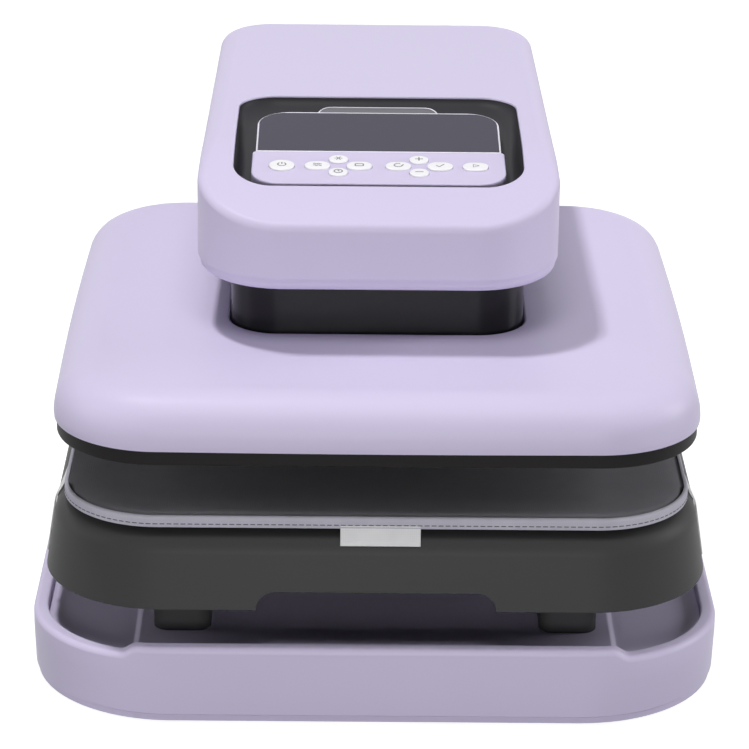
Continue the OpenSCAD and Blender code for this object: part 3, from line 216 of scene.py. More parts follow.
@dataclass(frozen=True)
class Outline:
    """A closed plan curve: points, anticlockwise from above, and their outward normals."""

    points: Array
    normals: Array

    @classmethod
    def rounded(cls, width: float, depth: float, front_r: float, back_r: float | None = None,
                centre: Pair = (0.0, 0.0), bow: float = 0.0, taper: float = 0.0, arc: int = 16,
                side: int = 20, front: Array | None = None, back: Array | None = None) -> Outline:
        """Rounded rectangle, from its right back corner on.

        A corner is a quarter circle. A side runs straight between two corners and bows out by a half
        sine. A taper draws the width in, evenly from front to back.

        Args:
            width: Size along x at the front.
            depth: Size along y.
            front_r: Radius of the two front corners.
            back_r: Radius of the two back corners, or the front ones' if left out.
            centre: Middle of the rectangle.
            bow: How far the middle of each side stands out.
            taper: How far each flank comes in at the back.
            arc: Steps in a corner.
            side: Steps along a side.
            front: Places along the front side, from 0 to 1, in place of even steps.
            back: The same for the back side, which runs from right to left.

        Returns:
            The curve with its normals.
        """
        half = np.array((width, depth)) / 2
        back_r = front_r if back_r is None else back_r
        corners = ((1, 1, back_r), (-1, 1, back_r), (-1, -1, front_r), (1, -1, front_r))
        even = np.linspace(0, 1, side + 1)[1:-1]
        places = (even if back is None else back, even, even if front is None else front, even)
        hubs = [np.array((sx, sy)) * (half - radius) for sx, sy, radius in corners]
        points, normals = [], []
        for quarter, (hub, spots) in enumerate(zip(hubs, places)):
            turn = rays(np.radians(90 * quarter + np.linspace(0, 90, arc + 1)))
            following = (quarter + 1) % 4
            start = hub + corners[quarter][2] * turn[-1]
            stop = hubs[following] + corners[following][2] * turn[-1]
            t = spots[:, None]
            line = start + (stop - start) * t + bow * np.sin(np.pi * t) * turn[-1]
            points += [hub + corners[quarter][2] * turn, line]
            normals += [turn, np.broadcast_to(turn[-1], line.shape)]
        flat = np.vstack(points)
        flat[:, 0] *= 1 - taper / half[0] * (flat[:, 1] + half[1]) / depth
        return cls(flat + np.array(centre), np.vstack(normals))

    @classmethod
    def around(cls, box: Box, front_r: float, grow: float = 0.0, **options: Any) -> Outline:
        """Rounded rectangle over the plan of a box, grown in width and depth."""
        width, depth = box.size[:2] + grow
        return cls.rounded(width, depth, front_r, centre=tuple(box.middle[:2]), **options)

    def ring(self, inset: float | Array, height: float | Array) -> Array:
        """The curve moved inwards and lifted, as points in space.

        Args:
            inset: Distance inwards, one for all points or one each.
            height: Level, one for all points or one each.

        Returns:
            One row of points.
        """
        flat = self.points - self.normals * np.reshape(inset, (-1, 1))
        return np.column_stack((flat, np.broadcast_to(height, len(flat))))

    def stack(self, profile: Profile) -> Array:
        """One ring for each pair of inset and height."""
        return np.array([self.ring(inset, height) for inset, height in profile])


@dataclass
class Surface:
    """A mesh in the making: points, four-sided faces and flat caps of many sides."""

    points: Array
    quads: Array
    caps: list[Array] = field(default_factory=list)

    def __add__(self, other: Surface) -> Surface:
        """Both surfaces as one.

        Args:
            other: The surface that follows.

        Returns:
            The two, side by side.
        """
        shift = len(self.points)
        points = np.vstack((self.points, other.points))
        quads = np.vstack((self.quads, other.quads + shift))
        return Surface(points, quads, self.caps + [cap + shift for cap in other.caps])

    def mesh(self, name: str) -> bpy.types.Mesh:
        """The surface as a Blender mesh, in metres.

        Args:
            name: Name of the mesh.

        Returns:
            The mesh, shaded smooth.
        """
        made = bpy.data.meshes.new(name)
        faces = self.quads.tolist() + [cap.tolist() for cap in self.caps]
        made.from_pydata((self.points * MM).tolist(), [], faces)
        made.shade_smooth()
        return made


def loft(rings: Array, wrap: bool = False, capped: bool = False) -> Surface:
    """Skin over rings of equal count; rings that go round anticlockwise and up face outwards.

    Args:
        rings: Points by ring, place in the ring and axis.
        wrap: Whether the last ring joins the first.
        capped: Whether the first and the last ring are closed.

    Returns:
        The skin.
    """
    count, size = rings.shape[:2]
    index = np.arange(count * size).reshape(count, size)
    low = index if wrap else index[:-1]
    high = np.roll(index, -1, axis=0) if wrap else index[1:]
    quads = np.stack((low, np.roll(low, -1, axis=1), np.roll(high, -1, axis=1), high), axis=-1)
    caps = [index[0][::-1], index[-1]] if capped else []
    return Surface(rings.reshape(-1, 3), quads.reshape(-1, 4), caps)


def slab(top: Array, floor: float) -> Surface:
    """Closed block under a grid of points.

    Args:
        top: Grid by x step, y step and axis.
        floor: Level of the flat underside.

    Returns:
        The block with its top, underside and walls.
    """
    rows, columns = top.shape[:2]
    under = top.copy()
    under[..., 2] = floor
    index = np.arange(rows * columns).reshape(rows, columns)
    cells = (index[:-1, :-1], index[1:, :-1], index[1:, 1:], index[:-1, 1:])
    face = np.stack(cells, axis=-1).reshape(-1, 4)
    edge = np.concatenate((index[:, 0], index[-1, 1:], index[-2::-1, -1], index[0, -2:0:-1]))
    ahead = np.roll(edge, -1)
    shift = rows * columns
    wall = np.column_stack((edge + shift, ahead + shift, ahead, edge))
    points = np.vstack((top.reshape(-1, 3), under.reshape(-1, 3)))
    return Surface(points, np.vstack((face, face[:, ::-1] + shift, wall)))


def stadium(width: float, thick: float, steps: int = 4, across: int = 1) -> Array:
    """Flat band section with half round edges, anticlockwise.

    Args:
        width: Width over the round edges.
        thick: Thickness, twice the edges' radius.
        steps: Steps in each half circle.
        across: Steps along each flat.

    Returns:
        Points of the section.
    """
    angle = np.radians(np.linspace(-90, 90, steps + 1))
    flat = (width - thick) / 2
    cap = np.column_stack((flat + thick / 2 * np.cos(angle), thick / 2 * np.sin(angle)))
    middle = np.linspace(flat, -flat, across + 1)[1:-1]
    top = np.column_stack((middle, np.full(len(middle), thick / 2)))
    return np.vstack((cap, top, -cap, -top))


def sweep(path: Array, up: Array, section: Array, closed: bool = False) -> Surface:
    """Section carried along a path.

    Args:
        path: Points of the path.
        up: Direction of the section's second axis, one for all points or one each.
        section: Points across the path, anticlockwise.
        closed: Whether the path is a loop.

    Returns:
        A closed skin.
    """
    if closed:
        along = unit(np.roll(path, -1, axis=0) - np.roll(path, 1, axis=0))
    else:
        along = unit(np.gradient(path, axis=0))
    side = unit(np.cross(up, along))
    lift = np.cross(along, side)
    rings = path[:, None] + side[:, None] * section[None, :, :1] + lift[:, None] * section[None, :, 1:]
    return loft(rings, wrap=closed, capped=not closed)


def stand(name: str, data: bpy.types.ID) -> bpy.types.Object:
    """Put a new object in the scene.

    Args:
        name: Name of the object.
        data: Its mesh, lamp or camera.

    Returns:
        The object, at the origin.
    """
    made = bpy.data.objects.new(name, data)
    bpy.context.scene.collection.objects.link(made)
    return made


def linear(colour: tuple[int, int, int]) -> tuple[float, float, float, float]:
    """A screen colour as the linear values that a shader takes, by the sRGB curve.

    Args:
        colour: Red, green and blue from 0 to 255.

    Returns:
        Linear red, green and blue, and full alpha.
    """
    share = np.array(colour) / 255
    value = np.where(share <= 0.04045, share / 12.92, ((share + 0.055) / 1.055) ** 2.4)
    return (*value.tolist(), 1.0)


class GrainGroup:
    """Builds the node group of one surface effect: tone, roughness and height by Object coordinates."""

    SOCKETS = (("Tone", "INPUT", "Color"), ("Fineness", "INPUT", "Float"),
               ("Base Roughness", "INPUT", "Float"), ("Color", "OUTPUT", "Color"),
               ("Roughness", "OUTPUT", "Float"), ("Height", "OUTPUT", "Float"))
    CLOUD_SCALE = 7.0
    LINT_SCALE = 60.0
    THREAD_RELIEF = 0.3
    MIDDLE = 0.5
    LINE_STRETCH = (0.03, 1.0, 1.0)

    def __init__(self, grain: Grain) -> None:
        """Make the group with its sockets and fill it.

        Args:
            grain: The effect to build.
        """
        self.tree = bpy.data.node_groups.new(grain.value, "ShaderNodeTree")
        for name, way, kind in self.SOCKETS:
            self.tree.interface.new_socket(name, in_out=way, socket_type="NodeSocket" + kind)
        self.start = self.tree.nodes.new("NodeGroupInput")
        self.end = self.tree.nodes.new("NodeGroupOutput")
        self.place = self.tree.nodes.new("ShaderNodeTexCoord").outputs["Object"]
        fill = {Grain.MOULDED: self.moulded, Grain.WOVEN: self.woven, Grain.BRUSHED: self.brushed}
        fill[grain]()

    def feed(self, source: Socket | float, target: Socket) -> None:
        """Give a socket its value.

        Args:
            source: The socket that it comes from, or a plain number.
            target: The socket that takes it.
        """
        if isinstance(source, Socket):
            self.tree.links.new(source, target)
        else:
            target.default_value = source

    def noise(self, scale: Socket | float, stretch: Triple | None = None, detail: float = 2.0) -> Socket:
        """Noise over the object.

        Args:
            scale: Cells per metre, or the socket that gives it.
            stretch: Factors on the coordinates first, if any.
            detail: Octaves.

        Returns:
            The factor's socket.
        """
        node = self.tree.nodes.new("ShaderNodeTexNoise")
        node.inputs["Detail"].default_value = detail
        place = self.place
        if stretch:
            mapping = self.tree.nodes.new("ShaderNodeMapping")
            mapping.inputs["Scale"].default_value = stretch
            self.feed(place, mapping.inputs["Vector"])
            place = mapping.outputs["Vector"]
        self.feed(place, node.inputs["Vector"])
        self.feed(scale, node.inputs["Scale"])
        return node.outputs["Fac"]

    def compute(self, kind: str, first: Socket, second: Socket | float, third: float = 0.0) -> Socket:
        """One step of arithmetic.

        Args:
            kind: The operation.
            first: Its first value.
            second: Its second value.
            third: Its third value, where it takes one.

        Returns:
            The result's socket.
        """
        node = self.tree.nodes.new("ShaderNodeMath")
        node.operation = kind
        for value, socket in zip((first, second, third), node.inputs):
            self.feed(value, socket)
        return node.outputs[0]

    def shade(self, mask: Socket, depth: float) -> None:
        """Darken the tone where the mask is low, and pass it on.

        Args:
            mask: Values from 0 to 1.
            depth: Share of the tone that is lost where the mask is 0.
        """
        scale = self.tree.nodes.new("ShaderNodeVectorMath")
        scale.operation = "SCALE"
        self.feed(self.start.outputs["Tone"], scale.inputs[0])
        self.feed(self.compute("MULTIPLY_ADD", mask, depth, 1 - depth), scale.inputs["Scale"])
        self.feed(scale.outputs[0], self.end.inputs["Color"])

    def rough(self, mask: Socket, spread: float) -> None:
        """Spread the base roughness by the mask, and pass it on.

        Args:
            mask: Values from 0 to 1.
            spread: Difference of roughness between mask 0 and 1.
        """
        part = self.compute("MULTIPLY_ADD", mask, spread, -spread / 2)
        total = self.compute("ADD", self.start.outputs["Base Roughness"], part)
        self.feed(total, self.end.inputs["Roughness"])

    def moulded(self) -> None:
        """Fine even grain of a moulded shell, with a faint cloudiness."""
        cloud = self.noise(self.CLOUD_SCALE)
        self.shade(cloud, depth=0.03)
        self.rough(cloud, spread=0.1)
        self.feed(self.noise(self.start.outputs["Fineness"], detail=1.0), self.end.inputs["Height"])

    def woven(self) -> None:
        """Plain weave: threads along all three axes, so that walls carry it as well as tops."""
        split = self.tree.nodes.new("ShaderNodeSeparateXYZ")
        self.feed(self.place, split.inputs[0])
        fine = self.start.outputs["Fineness"]
        angles = [self.compute("MULTIPLY", split.outputs[axis], fine) for axis in range(3)]
        waves = [self.compute("SINE", angle, 0.0) for angle in angles]
        pairs = [self.compute("MULTIPLY", waves[axis], waves[axis - 1]) for axis in range(3)]
        crossing = self.compute("ADD", self.compute("ADD", pairs[0], pairs[1]), pairs[2])
        height = self.compute("MULTIPLY_ADD", crossing, self.THREAD_RELIEF, self.MIDDLE)
        half = self.compute("MULTIPLY", height, self.MIDDLE)
        self.shade(self.compute("ADD", half, self.noise(self.LINT_SCALE)), depth=0.16)
        self.rough(height, spread=0.1)
        self.feed(height, self.end.inputs["Height"])

    def brushed(self) -> None:
        """Fine lines along x, as on rolled or brushed metal."""
        lines = self.noise(self.start.outputs["Fineness"], stretch=self.LINE_STRETCH)
        self.shade(lines, depth=0.12)
        self.rough(lines, spread=0.18)
        self.feed(lines, self.end.inputs["Height"])


@dataclass(frozen=True)
class Finish:
    """One procedural material, in screen colours."""

    name: str
    colour: tuple[int, int, int]
    roughness: float
    grain: Grain = Grain.MOULDED
    fineness: float = 1500.0
    depth: float = 0.03
    metallic: float = 0.0
    specular: float = 0.5
    bump_reach: float = 0.5

    def material(self, groups: dict[Grain, bpy.types.NodeTree]) -> bpy.types.Material:
        """Build the material on its grain's node group.

        Args:
            groups: The node group of each grain.

        Returns:
            The material.
        """
        made = bpy.data.materials.new(self.name)
        made.use_nodes = True
        nodes, links = made.node_tree.nodes, made.node_tree.links
        shader = nodes["Principled BSDF"]
        group = nodes.new("ShaderNodeGroup")
        group.node_tree = groups[self.grain]
        group.inputs["Tone"].default_value = linear(self.colour)
        group.inputs["Fineness"].default_value = self.fineness
        group.inputs["Base Roughness"].default_value = self.roughness
        bump = nodes.new("ShaderNodeBump")
        bump.inputs["Strength"].default_value = self.depth
        bump.inputs["Distance"].default_value = self.bump_reach * MM
        links.new(group.outputs["Color"], shader.inputs["Base Color"])
        links.new(group.outputs["Roughness"], shader.inputs["Roughness"])
        links.new(group.outputs["Height"], bump.inputs["Height"])
        links.new(bump.outputs["Normal"], shader.inputs["Normal"])
        shader.inputs["Metallic"].default_value = self.metallic
        shader.inputs["Specular IOR Level"].default_value = self.specular
        return made


FINISHES: dict[Slot, Finish] = {
    Slot.LAVENDER: Finish("lavender", (214, 205, 234), 0.4, specular=0.14),
    Slot.GRAPHITE: Finish("graphite", (64, 64, 65), 0.5, specular=0.12),
    Slot.GLOSS: Finish("polished_black", (14, 14, 16), 0.22, depth=0.0, specular=0.25),
    Slot.BLACK: Finish("matte_black", (33, 31, 32), 0.5, specular=0.1),
    Slot.LENS: Finish("smoked_plastic", (74, 72, 85), 0.35, depth=0.0, specular=0.06),
    Slot.BUTTON: Finish("white_caps", (243, 242, 245), 0.3, depth=0.01),
    Slot.GRIP: Finish("silver_grey", (106, 105, 112), 0.35),
    Slot.BOARD: Finish("circuit_board", (38, 92, 60), 0.45),
    Slot.STEEL: Finish("plated_steel", (178, 180, 184), 0.35, Grain.BRUSHED, 900.0, metallic=1.0),
    Slot.ALUMINIUM: Finish("plain_aluminium", (205, 207, 209), 0.4, Grain.BRUSHED, 900.0, metallic=1.0),
    Slot.COATED: Finish("coated_plate", (56, 56, 58), 0.45, metallic=0.3),
    Slot.BRONZE: Finish("turned_bronze", (190, 152, 90), 0.35, Grain.BRUSHED, 900.0, metallic=1.0),
    Slot.MAT: Finish("mat_cover", (142, 140, 146), 0.85, Grain.WOVEN, 4200.0, 0.25, specular=0.15),
    Slot.CLOTH: Finish("white_band", (238, 238, 240), 0.85, Grain.WOVEN, 5200.0, 0.2, specular=0.2),
    Slot.RUBBER: Finish("black_rubber", (30, 30, 31), 0.7),
}
# A lighter copy of the lavender plastic: painted highlight on the display housing's thin rim and on the
# finger rest's upper edge.
PAINTED_HIGHLIGHT_LAVENDER = Finish("lavender_painted_highlight", (240, 236, 248), 0.35)
# A lighter copy of the mat's grey cloth, for its gusset and welt: painted highlight on the pad's side
# band, where light falls past the platen.
GUSSET_PAINTED_HIGHLIGHT = Finish("silver_gusset_painted_highlight", (194, 192, 205), 0.75, Grain.WOVEN, 5200.0, 0.2, specular=0.2)
PRINT = Finish("grey_print", (128, 126, 134), 0.6, depth=0.0)
STITCH = Finish("seam_thread", (88, 87, 94), 0.8, depth=0.0)
BEZEL = Finish("dark_bezel", (50, 49, 53), 0.5, specular=0.12)
# Near-black cloth under the mat's seam: painted shade in the gap between the mat and the tray.
PAINTED_SHADE_BACKING = Finish("mat_painted_shade_backing", (20, 20, 22), 0.8, specular=0.1)
EXTRAS = (PAINTED_HIGHLIGHT_LAVENDER, GUSSET_PAINTED_HIGHLIGHT, PRINT, STITCH, BEZEL, PAINTED_SHADE_BACKING)


class Workshop:
    """Makes materials and places finished pieces on the frame."""

    def __init__(self) -> None:
        """Build every grain group and material once."""
        groups = {grain: GrainGroup(grain).tree for grain in Grain}
        self.materials = {slot: finish.material(groups) for slot, finish in FINISHES.items()}
        self.extra = {finish.name: finish.material(groups) for finish in EXTRAS}

    def place(self, name: str, surface: Surface, body: str, slot: Slot, *nodes: str, sharp: float = 32.0,
              finish: Finish | None = None) -> bpy.types.Object:
        """Turn a surface into a piece that rides on a body.

        Args:
            name: Name of the piece.
            surface: Its points and faces.
            body: The body it goes with.
            slot: Its material slot.
            nodes: Frame nodes that it stands for.
            sharp: Edges with a larger angle in degrees stay crisp.
            finish: A finish in place of the slot's own.

        Returns:
            The object.
        """
        made = surface.mesh(name)
        made.set_sharp_from_angle(angle=math.radians(sharp))
        made.materials.append(self.extra[finish.name] if finish else self.materials[slot])
        piece = stand(name, made)
        even = piece.modifiers.new("even shading", "WEIGHTED_NORMAL")
        even.keep_sharp = True
        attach(piece, body)
        if nodes:
            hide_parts(*nodes)
        log.info("%s: %d points on %s", name, len(surface.points), body)
        return piece

    def dress_nodes(self) -> None:
        """Give every frame node the material of its slot."""
        for entry in frame["record"]["subparts"]:
            node = frame["nodes"][entry["node"]]
            node.data.materials.clear()
            node.data.materials.append(self.materials[Slot(entry["material_slot"])])


@dataclass
class Base:
    """Low housing with a rim, a raised front lip and a sunk deck with a channel on each side."""

    corner_r: float = 88.0
    foot_r: float = 96.0
    foot_ease: float = 0.8
    trim_h: float = 30.0
    rim_w: float = 10.0
    edge_r: float = 4.0
    # Rounded inner edge of the rim, from the well's wall and the rim's top
    brim: Profile = ((-1.8, 0.0), (-0.8, -0.25), (-0.2, -0.9), (0.0, -2.0))
    well_back_r: float = 1.0
    lip_rise: float = 5.5
    lip_half: float = 155.0
    lip_ramp: float = 11.0
    deck_drop: float = 4.0
    channel_drop: float = 3.0
    step_run: float = 5.0
    floor: float = 38.0
    # How far the deck block runs into the walls and the floor
    bite: float = 0.3
    floor_bite: float = 0.5

    def build(self, shop: Workshop) -> None:
        """Make the shell and lay the deck in it.

        Args:
            shop: Where the pieces are made.
        """
        box = Box.of("base_cover")
        back = Box.of("column_front_cover").low[1] - self.rim_w
        surface = self.shell(box, back) + self.deck(box, back)
        shop.place("base_shell", surface, Body.HOUSING, Slot.LAVENDER, "base_cover")

    def shell(self, box: Box, back: float) -> Surface:
        """Closed dish: outer wall, rounded edge, rim, and a well that ends before the column.

        The corners draw in towards the foot, evenly from one corner radius to a larger one. The lip lifts
        the front of the rim by a fixed rise between its ramps, less further down the wall.

        Args:
            box: Box of the base cover.
            back: Where the well ends.

        Returns:
            The skin.
        """
        low, top = box.low[2], box.high[2] - self.lip_rise
        width, depth = box.size[:2]
        steps = {"arc": 48, "side": 24}
        outer = Outline.rounded(width, depth, self.corner_r, **steps)
        foot = Outline.rounded(width, depth, self.foot_r, **steps)
        front = box.low[1] + self.rim_w
        well = Outline.rounded(width - 2 * self.rim_w, back - front, self.corner_r - self.rim_w,
                               self.well_back_r, (0.0, (front + back) / 2), **steps)
        sole = foot.stack([(self.foot_ease, low)])
        trim = between(foot.ring(0.0, low + self.foot_ease), outer.ring(0.0, low + self.trim_h),
                       np.linspace(0, 1, 8))
        edge = outer.stack(quarter_round(0.0, top, self.edge_r))
        inner = well.stack(shifted(self.brim, 0.0, top) + [(0.0, self.floor)])
        rings = np.concatenate((sole, trim, edge, inner))
        x, y, z = np.moveaxis(rings, -1, 0)
        lift = 1 - ease(self.lip_half, self.lip_half + self.lip_ramp, np.abs(x))
        share = np.clip((z - low - self.trim_h) / (top - self.edge_r - low - self.trim_h), 0, 1)
        rings[..., 2] += self.lip_rise * lift * share * (y < back - self.rim_w)
        return loft(rings, capped=True)

    def deck(self, box: Box, back: float) -> Surface:
        """Deck block: columns of points from the rounded front edge back, level but for two side steps.

        Args:
            box: Box of the base cover.
            back: Where the well ends.

        Returns:
            The block.
        """
        half = box.size[0] / 2 - self.rim_w + self.bite
        radius = self.corner_r - self.rim_w + self.bite
        flank = np.linspace(self.lip_half + self.step_run, half, 22)
        step = self.lip_half + np.linspace(0, self.step_run, 6)[:-1]
        right = np.concatenate((np.linspace(0, self.lip_half, 14)[:-1], step, flank))
        x = np.concatenate((-right[:0:-1], right))
        beyond = np.clip(np.abs(x) - (half - radius), 0, radius)
        front = box.low[1] + self.rim_w - self.bite + radius - np.sqrt(radius ** 2 - beyond ** 2)
        y = front[:, None] + (back + self.bite - front)[:, None] * np.linspace(0, 1, 12)
        level = box.high[2] - self.lip_rise - self.deck_drop
        fall = self.channel_drop * ease(self.lip_half, self.lip_half + self.step_run, np.abs(x))
        z = np.broadcast_to((level - fall)[:, None], y.shape)
        grid = np.stack((np.broadcast_to(x[:, None], y.shape), y, z), axis=-1)
        return slab(grid, self.floor - self.floor_bite)


@dataclass
class Stuffing:
    """Cloth run that swells a padded piece from inside."""

    voxel: float = 5.0
    pressure: float = 4.0
    frames: int = 20
    reach: float = 0.9
    tiny: float = 1e-9

    def swell(self, piece: bpy.types.Object) -> None:
        """Remesh the piece, let its cover swell and wrinkle, and keep it inside its own box.

        Each point moves by the cloth's way, cut to a fixed reach; the height is then brought back to the
        piece's own, and the underside stays flat.

        Args:
            piece: The padded object, changed in place.
        """
        scene = bpy.context.scene
        rest = piece.data.copy()
        corners = self.points(rest)
        low, high = corners[:, 2].min(), corners[:, 2].max()
        copy = stand("stuffing", rest)
        grid = copy.modifiers.new("even cells", "REMESH")
        grid.mode = "VOXEL"
        grid.voxel_size = self.voxel * MM
        even = self.baked(copy)
        copy.modifiers.clear()
        copy.data = even
        before = self.points(even)
        self.cover(copy)
        for step in range(1, self.frames + 1):
            scene.frame_set(step)
        move = self.points(self.baked(copy)) - before
        scene.frame_set(1)
        bpy.data.objects.remove(copy)
        size = np.linalg.norm(move, axis=1, keepdims=True)
        settled = before + move * np.minimum(1, self.reach * MM / np.maximum(size, self.tiny))
        height = settled[:, 2] - low
        settled[:, 2] = low + height.clip(0) * (high - low) / height.max()
        even.vertices.foreach_set("co", settled.astype(np.float32).ravel())
        even.shade_smooth()
        even.materials.clear()
        even.materials.append(piece.data.materials[0])
        piece.modifiers.clear()
        piece.data = even
        smooth = piece.modifiers.new("soft cover", "SUBSURF")
        smooth.levels = 1
        smooth.render_levels = 1

    def cover(self, piece: bpy.types.Object) -> None:
        """Make the piece a cloth under pressure, without weight.

        Args:
            piece: The object, changed in place.
        """
        cloth = piece.modifiers.new("cover", "CLOTH")
        cloth.settings.quality = 6
        cloth.settings.mass = 0.2
        cloth.settings.tension_stiffness = 12
        cloth.settings.compression_stiffness = 12
        cloth.settings.bending_stiffness = 0.3
        cloth.settings.shrink_min = -0.02
        cloth.settings.use_pressure = True
        cloth.settings.uniform_pressure_force = self.pressure
        cloth.settings.effector_weights.gravity = 0.0
        cloth.point_cache.frame_start = 1
        cloth.point_cache.frame_end = self.frames

    @staticmethod
    def baked(piece: bpy.types.Object) -> bpy.types.Mesh:
        """The piece's mesh with its modifiers, as they stand now."""
        return bpy.data.meshes.new_from_object(piece.evaluated_get(bpy.context.evaluated_depsgraph_get()))

    @staticmethod
    def points(mesh: bpy.types.Mesh) -> Array:
        """All points of a mesh.

        Args:
            mesh: The mesh to read.

        Returns:
            One row for each point.
        """
        flat = np.empty(len(mesh.vertices) * 3, dtype=np.float32)
        mesh.vertices.foreach_get("co", flat)
        return flat.reshape(-1, 3).astype(float)


@dataclass
class Mat:
    """Padded press mat: a swollen pad, its gusset and welt in a lighter cloth that paints highlight, a
    near-black backing that paints the shade under the seam, and stitches.
    """

    corner_r: float = 64.0
    seam_h: float = 5.0
    undercut: float = 14.0
    # Foot of the backing, from the undercut and the mat's lowest level
    foot: Profile = ((1.0, 0.0), (-1.0, 0.3))
    # Corner under the seam, from the undercut and the seam
    nook: Profile = ((-1.4, -1.6),)
    # Flange out to the seam, from the outline and the seam
    flange: Profile = ((2.0, -1.2), (1.2, 0.0))
    backing_w: float = 4.0
    cover_in: float = 2.5
    cover_up: float = 0.4
    pad_in: float = 1.0
    pad_r: float = 3.0
    crown_in: float = 30.0
    crown_h: float = 0.8
    # Gusset's lower edge from the seam, and its upper edge from the mat's top
    gusset_low: Profile = ((0.3, 0.0), (0.0, 1.5))
    gusset_high: Profile = ((0.0, -3.4), (0.4, -2.2), (1.4, -1.4), (2.6, -1.4))
    gusset_t: float = 2.6
    welt_r: float = 1.0
    welt_in: float = 0.9
    welt_drop: float = 0.2
    stitch_h: float = 1.5
    stitch_pitch: float = 4.5
    stitch_gap: float = 2.0
    stitch_sunk: float = 0.15
    thread_r: float = 0.4
    # Places along a stitch and the share of the thread's radius there
    stitch: Profile = ((-1.8, 0.35), (-1.3, 1.0), (1.3, 1.0), (1.8, 0.35))

    def build(self, shop: Workshop) -> None:
        """Make the pad with its cover and sewn edges.

        Args:
            shop: Where the pieces are made.
        """
        box = Box.of("press_mat")
        outline = Outline.around(box, self.corner_r, arc=24, side=40)
        low, top = box.low[2], box.high[2]
        seam = low + self.seam_h
        under = shifted(self.foot, self.undercut, low) + shifted(self.nook, self.undercut, seam)
        under += shifted(self.flange, 0.0, seam)
        side = shifted(under, self.cover_in, self.cover_up)
        rings = outline.stack(side + quarter_round(self.pad_in, top - self.crown_h, self.pad_r))
        inside = Outline.around(box, self.corner_r - self.crown_in, -2 * self.crown_in, arc=24, side=40)
        skin = loft(np.concatenate((rings, inside.stack([(0.0, top)]))), capped=True)
        pad = shop.place("mat_pad", skin, Body.DRAWER, Slot.MAT, "press_mat", sharp=80.0)
        Stuffing().swell(pad)
        band = shifted(self.gusset_low, 0.0, seam) + shifted(self.gusset_high, 0.0, top)
        band.append((self.gusset_t, seam))
        heel = self.undercut + self.backing_w
        back = under + [(heel, seam), (heel, low)]
        # The gusset band carries painted highlight, and the near-black backing under the seam carries
        # painted shade.
        for name, profile, finish in (("mat_gusset", band, GUSSET_PAINTED_HIGHLIGHT), ("mat_painted_shade_backing", back, PAINTED_SHADE_BACKING)):
            ribbon = loft(outline.stack(profile), wrap=True)
            shop.place(name, ribbon, Body.DRAWER, Slot.MAT, sharp=60.0, finish=finish)
        # The welt takes the gusset's lighter cloth, the same painted highlight.
        path = outline.ring(self.welt_in, seam - self.welt_drop)
        welt = sweep(path, UP, circle(self.welt_r, 8), closed=True)
        shop.place("mat_welt", welt, Body.DRAWER, Slot.MAT, finish=GUSSET_PAINTED_HIGHLIGHT)
        thread = self.stitches(outline, seam + self.stitch_h)
        shop.place("mat_stitches", thread, Body.DRAWER, Slot.MAT, finish=STITCH)

    def stitches(self, outline: Outline, level: float) -> Surface:
        """Row of thread stitches round the mat: a small six-sided bead, repeated at even steps.

        Args:
            outline: Plan curve of the mat.
            level: Height of the row.

        Returns:
            All stitches as one surface.
        """
        points = outline.points
        lengths = np.linalg.norm(np.roll(points, -1, axis=0) - points, axis=1)
        run = np.concatenate(((0.0,), np.cumsum(lengths)))
        at = np.arange(0.0, run[-1] - self.stitch_gap, self.stitch_pitch)
        flat = np.zeros(len(at))
        centre = np.column_stack((resample(points, run, at), flat + level))
        out = unit(np.column_stack((resample(outline.normals, run, at), flat)))
        along = np.column_stack((-out[:, 1], out[:, 0], flat))
        reach, swell = np.transpose(self.stitch)
        ring = swell[:, None, None] * circle(self.thread_r, 6)
        grid = (centre[:, None, None] + along[:, None, None] * reach[None, :, None, None]
                + out[:, None, None] * (ring[None, ..., 1:] - self.stitch_sunk) + UP * ring[None, ..., :1])
        one = loft(grid[0], capped=True)
        shift = np.arange(len(at)) * len(one.points)
        quads = (one.quads[None] + shift[:, None, None]).reshape(-1, 4)
        caps = [cap + step for step in shift for cap in one.caps]
        return Surface(grid.reshape(-1, 3), quads, caps)


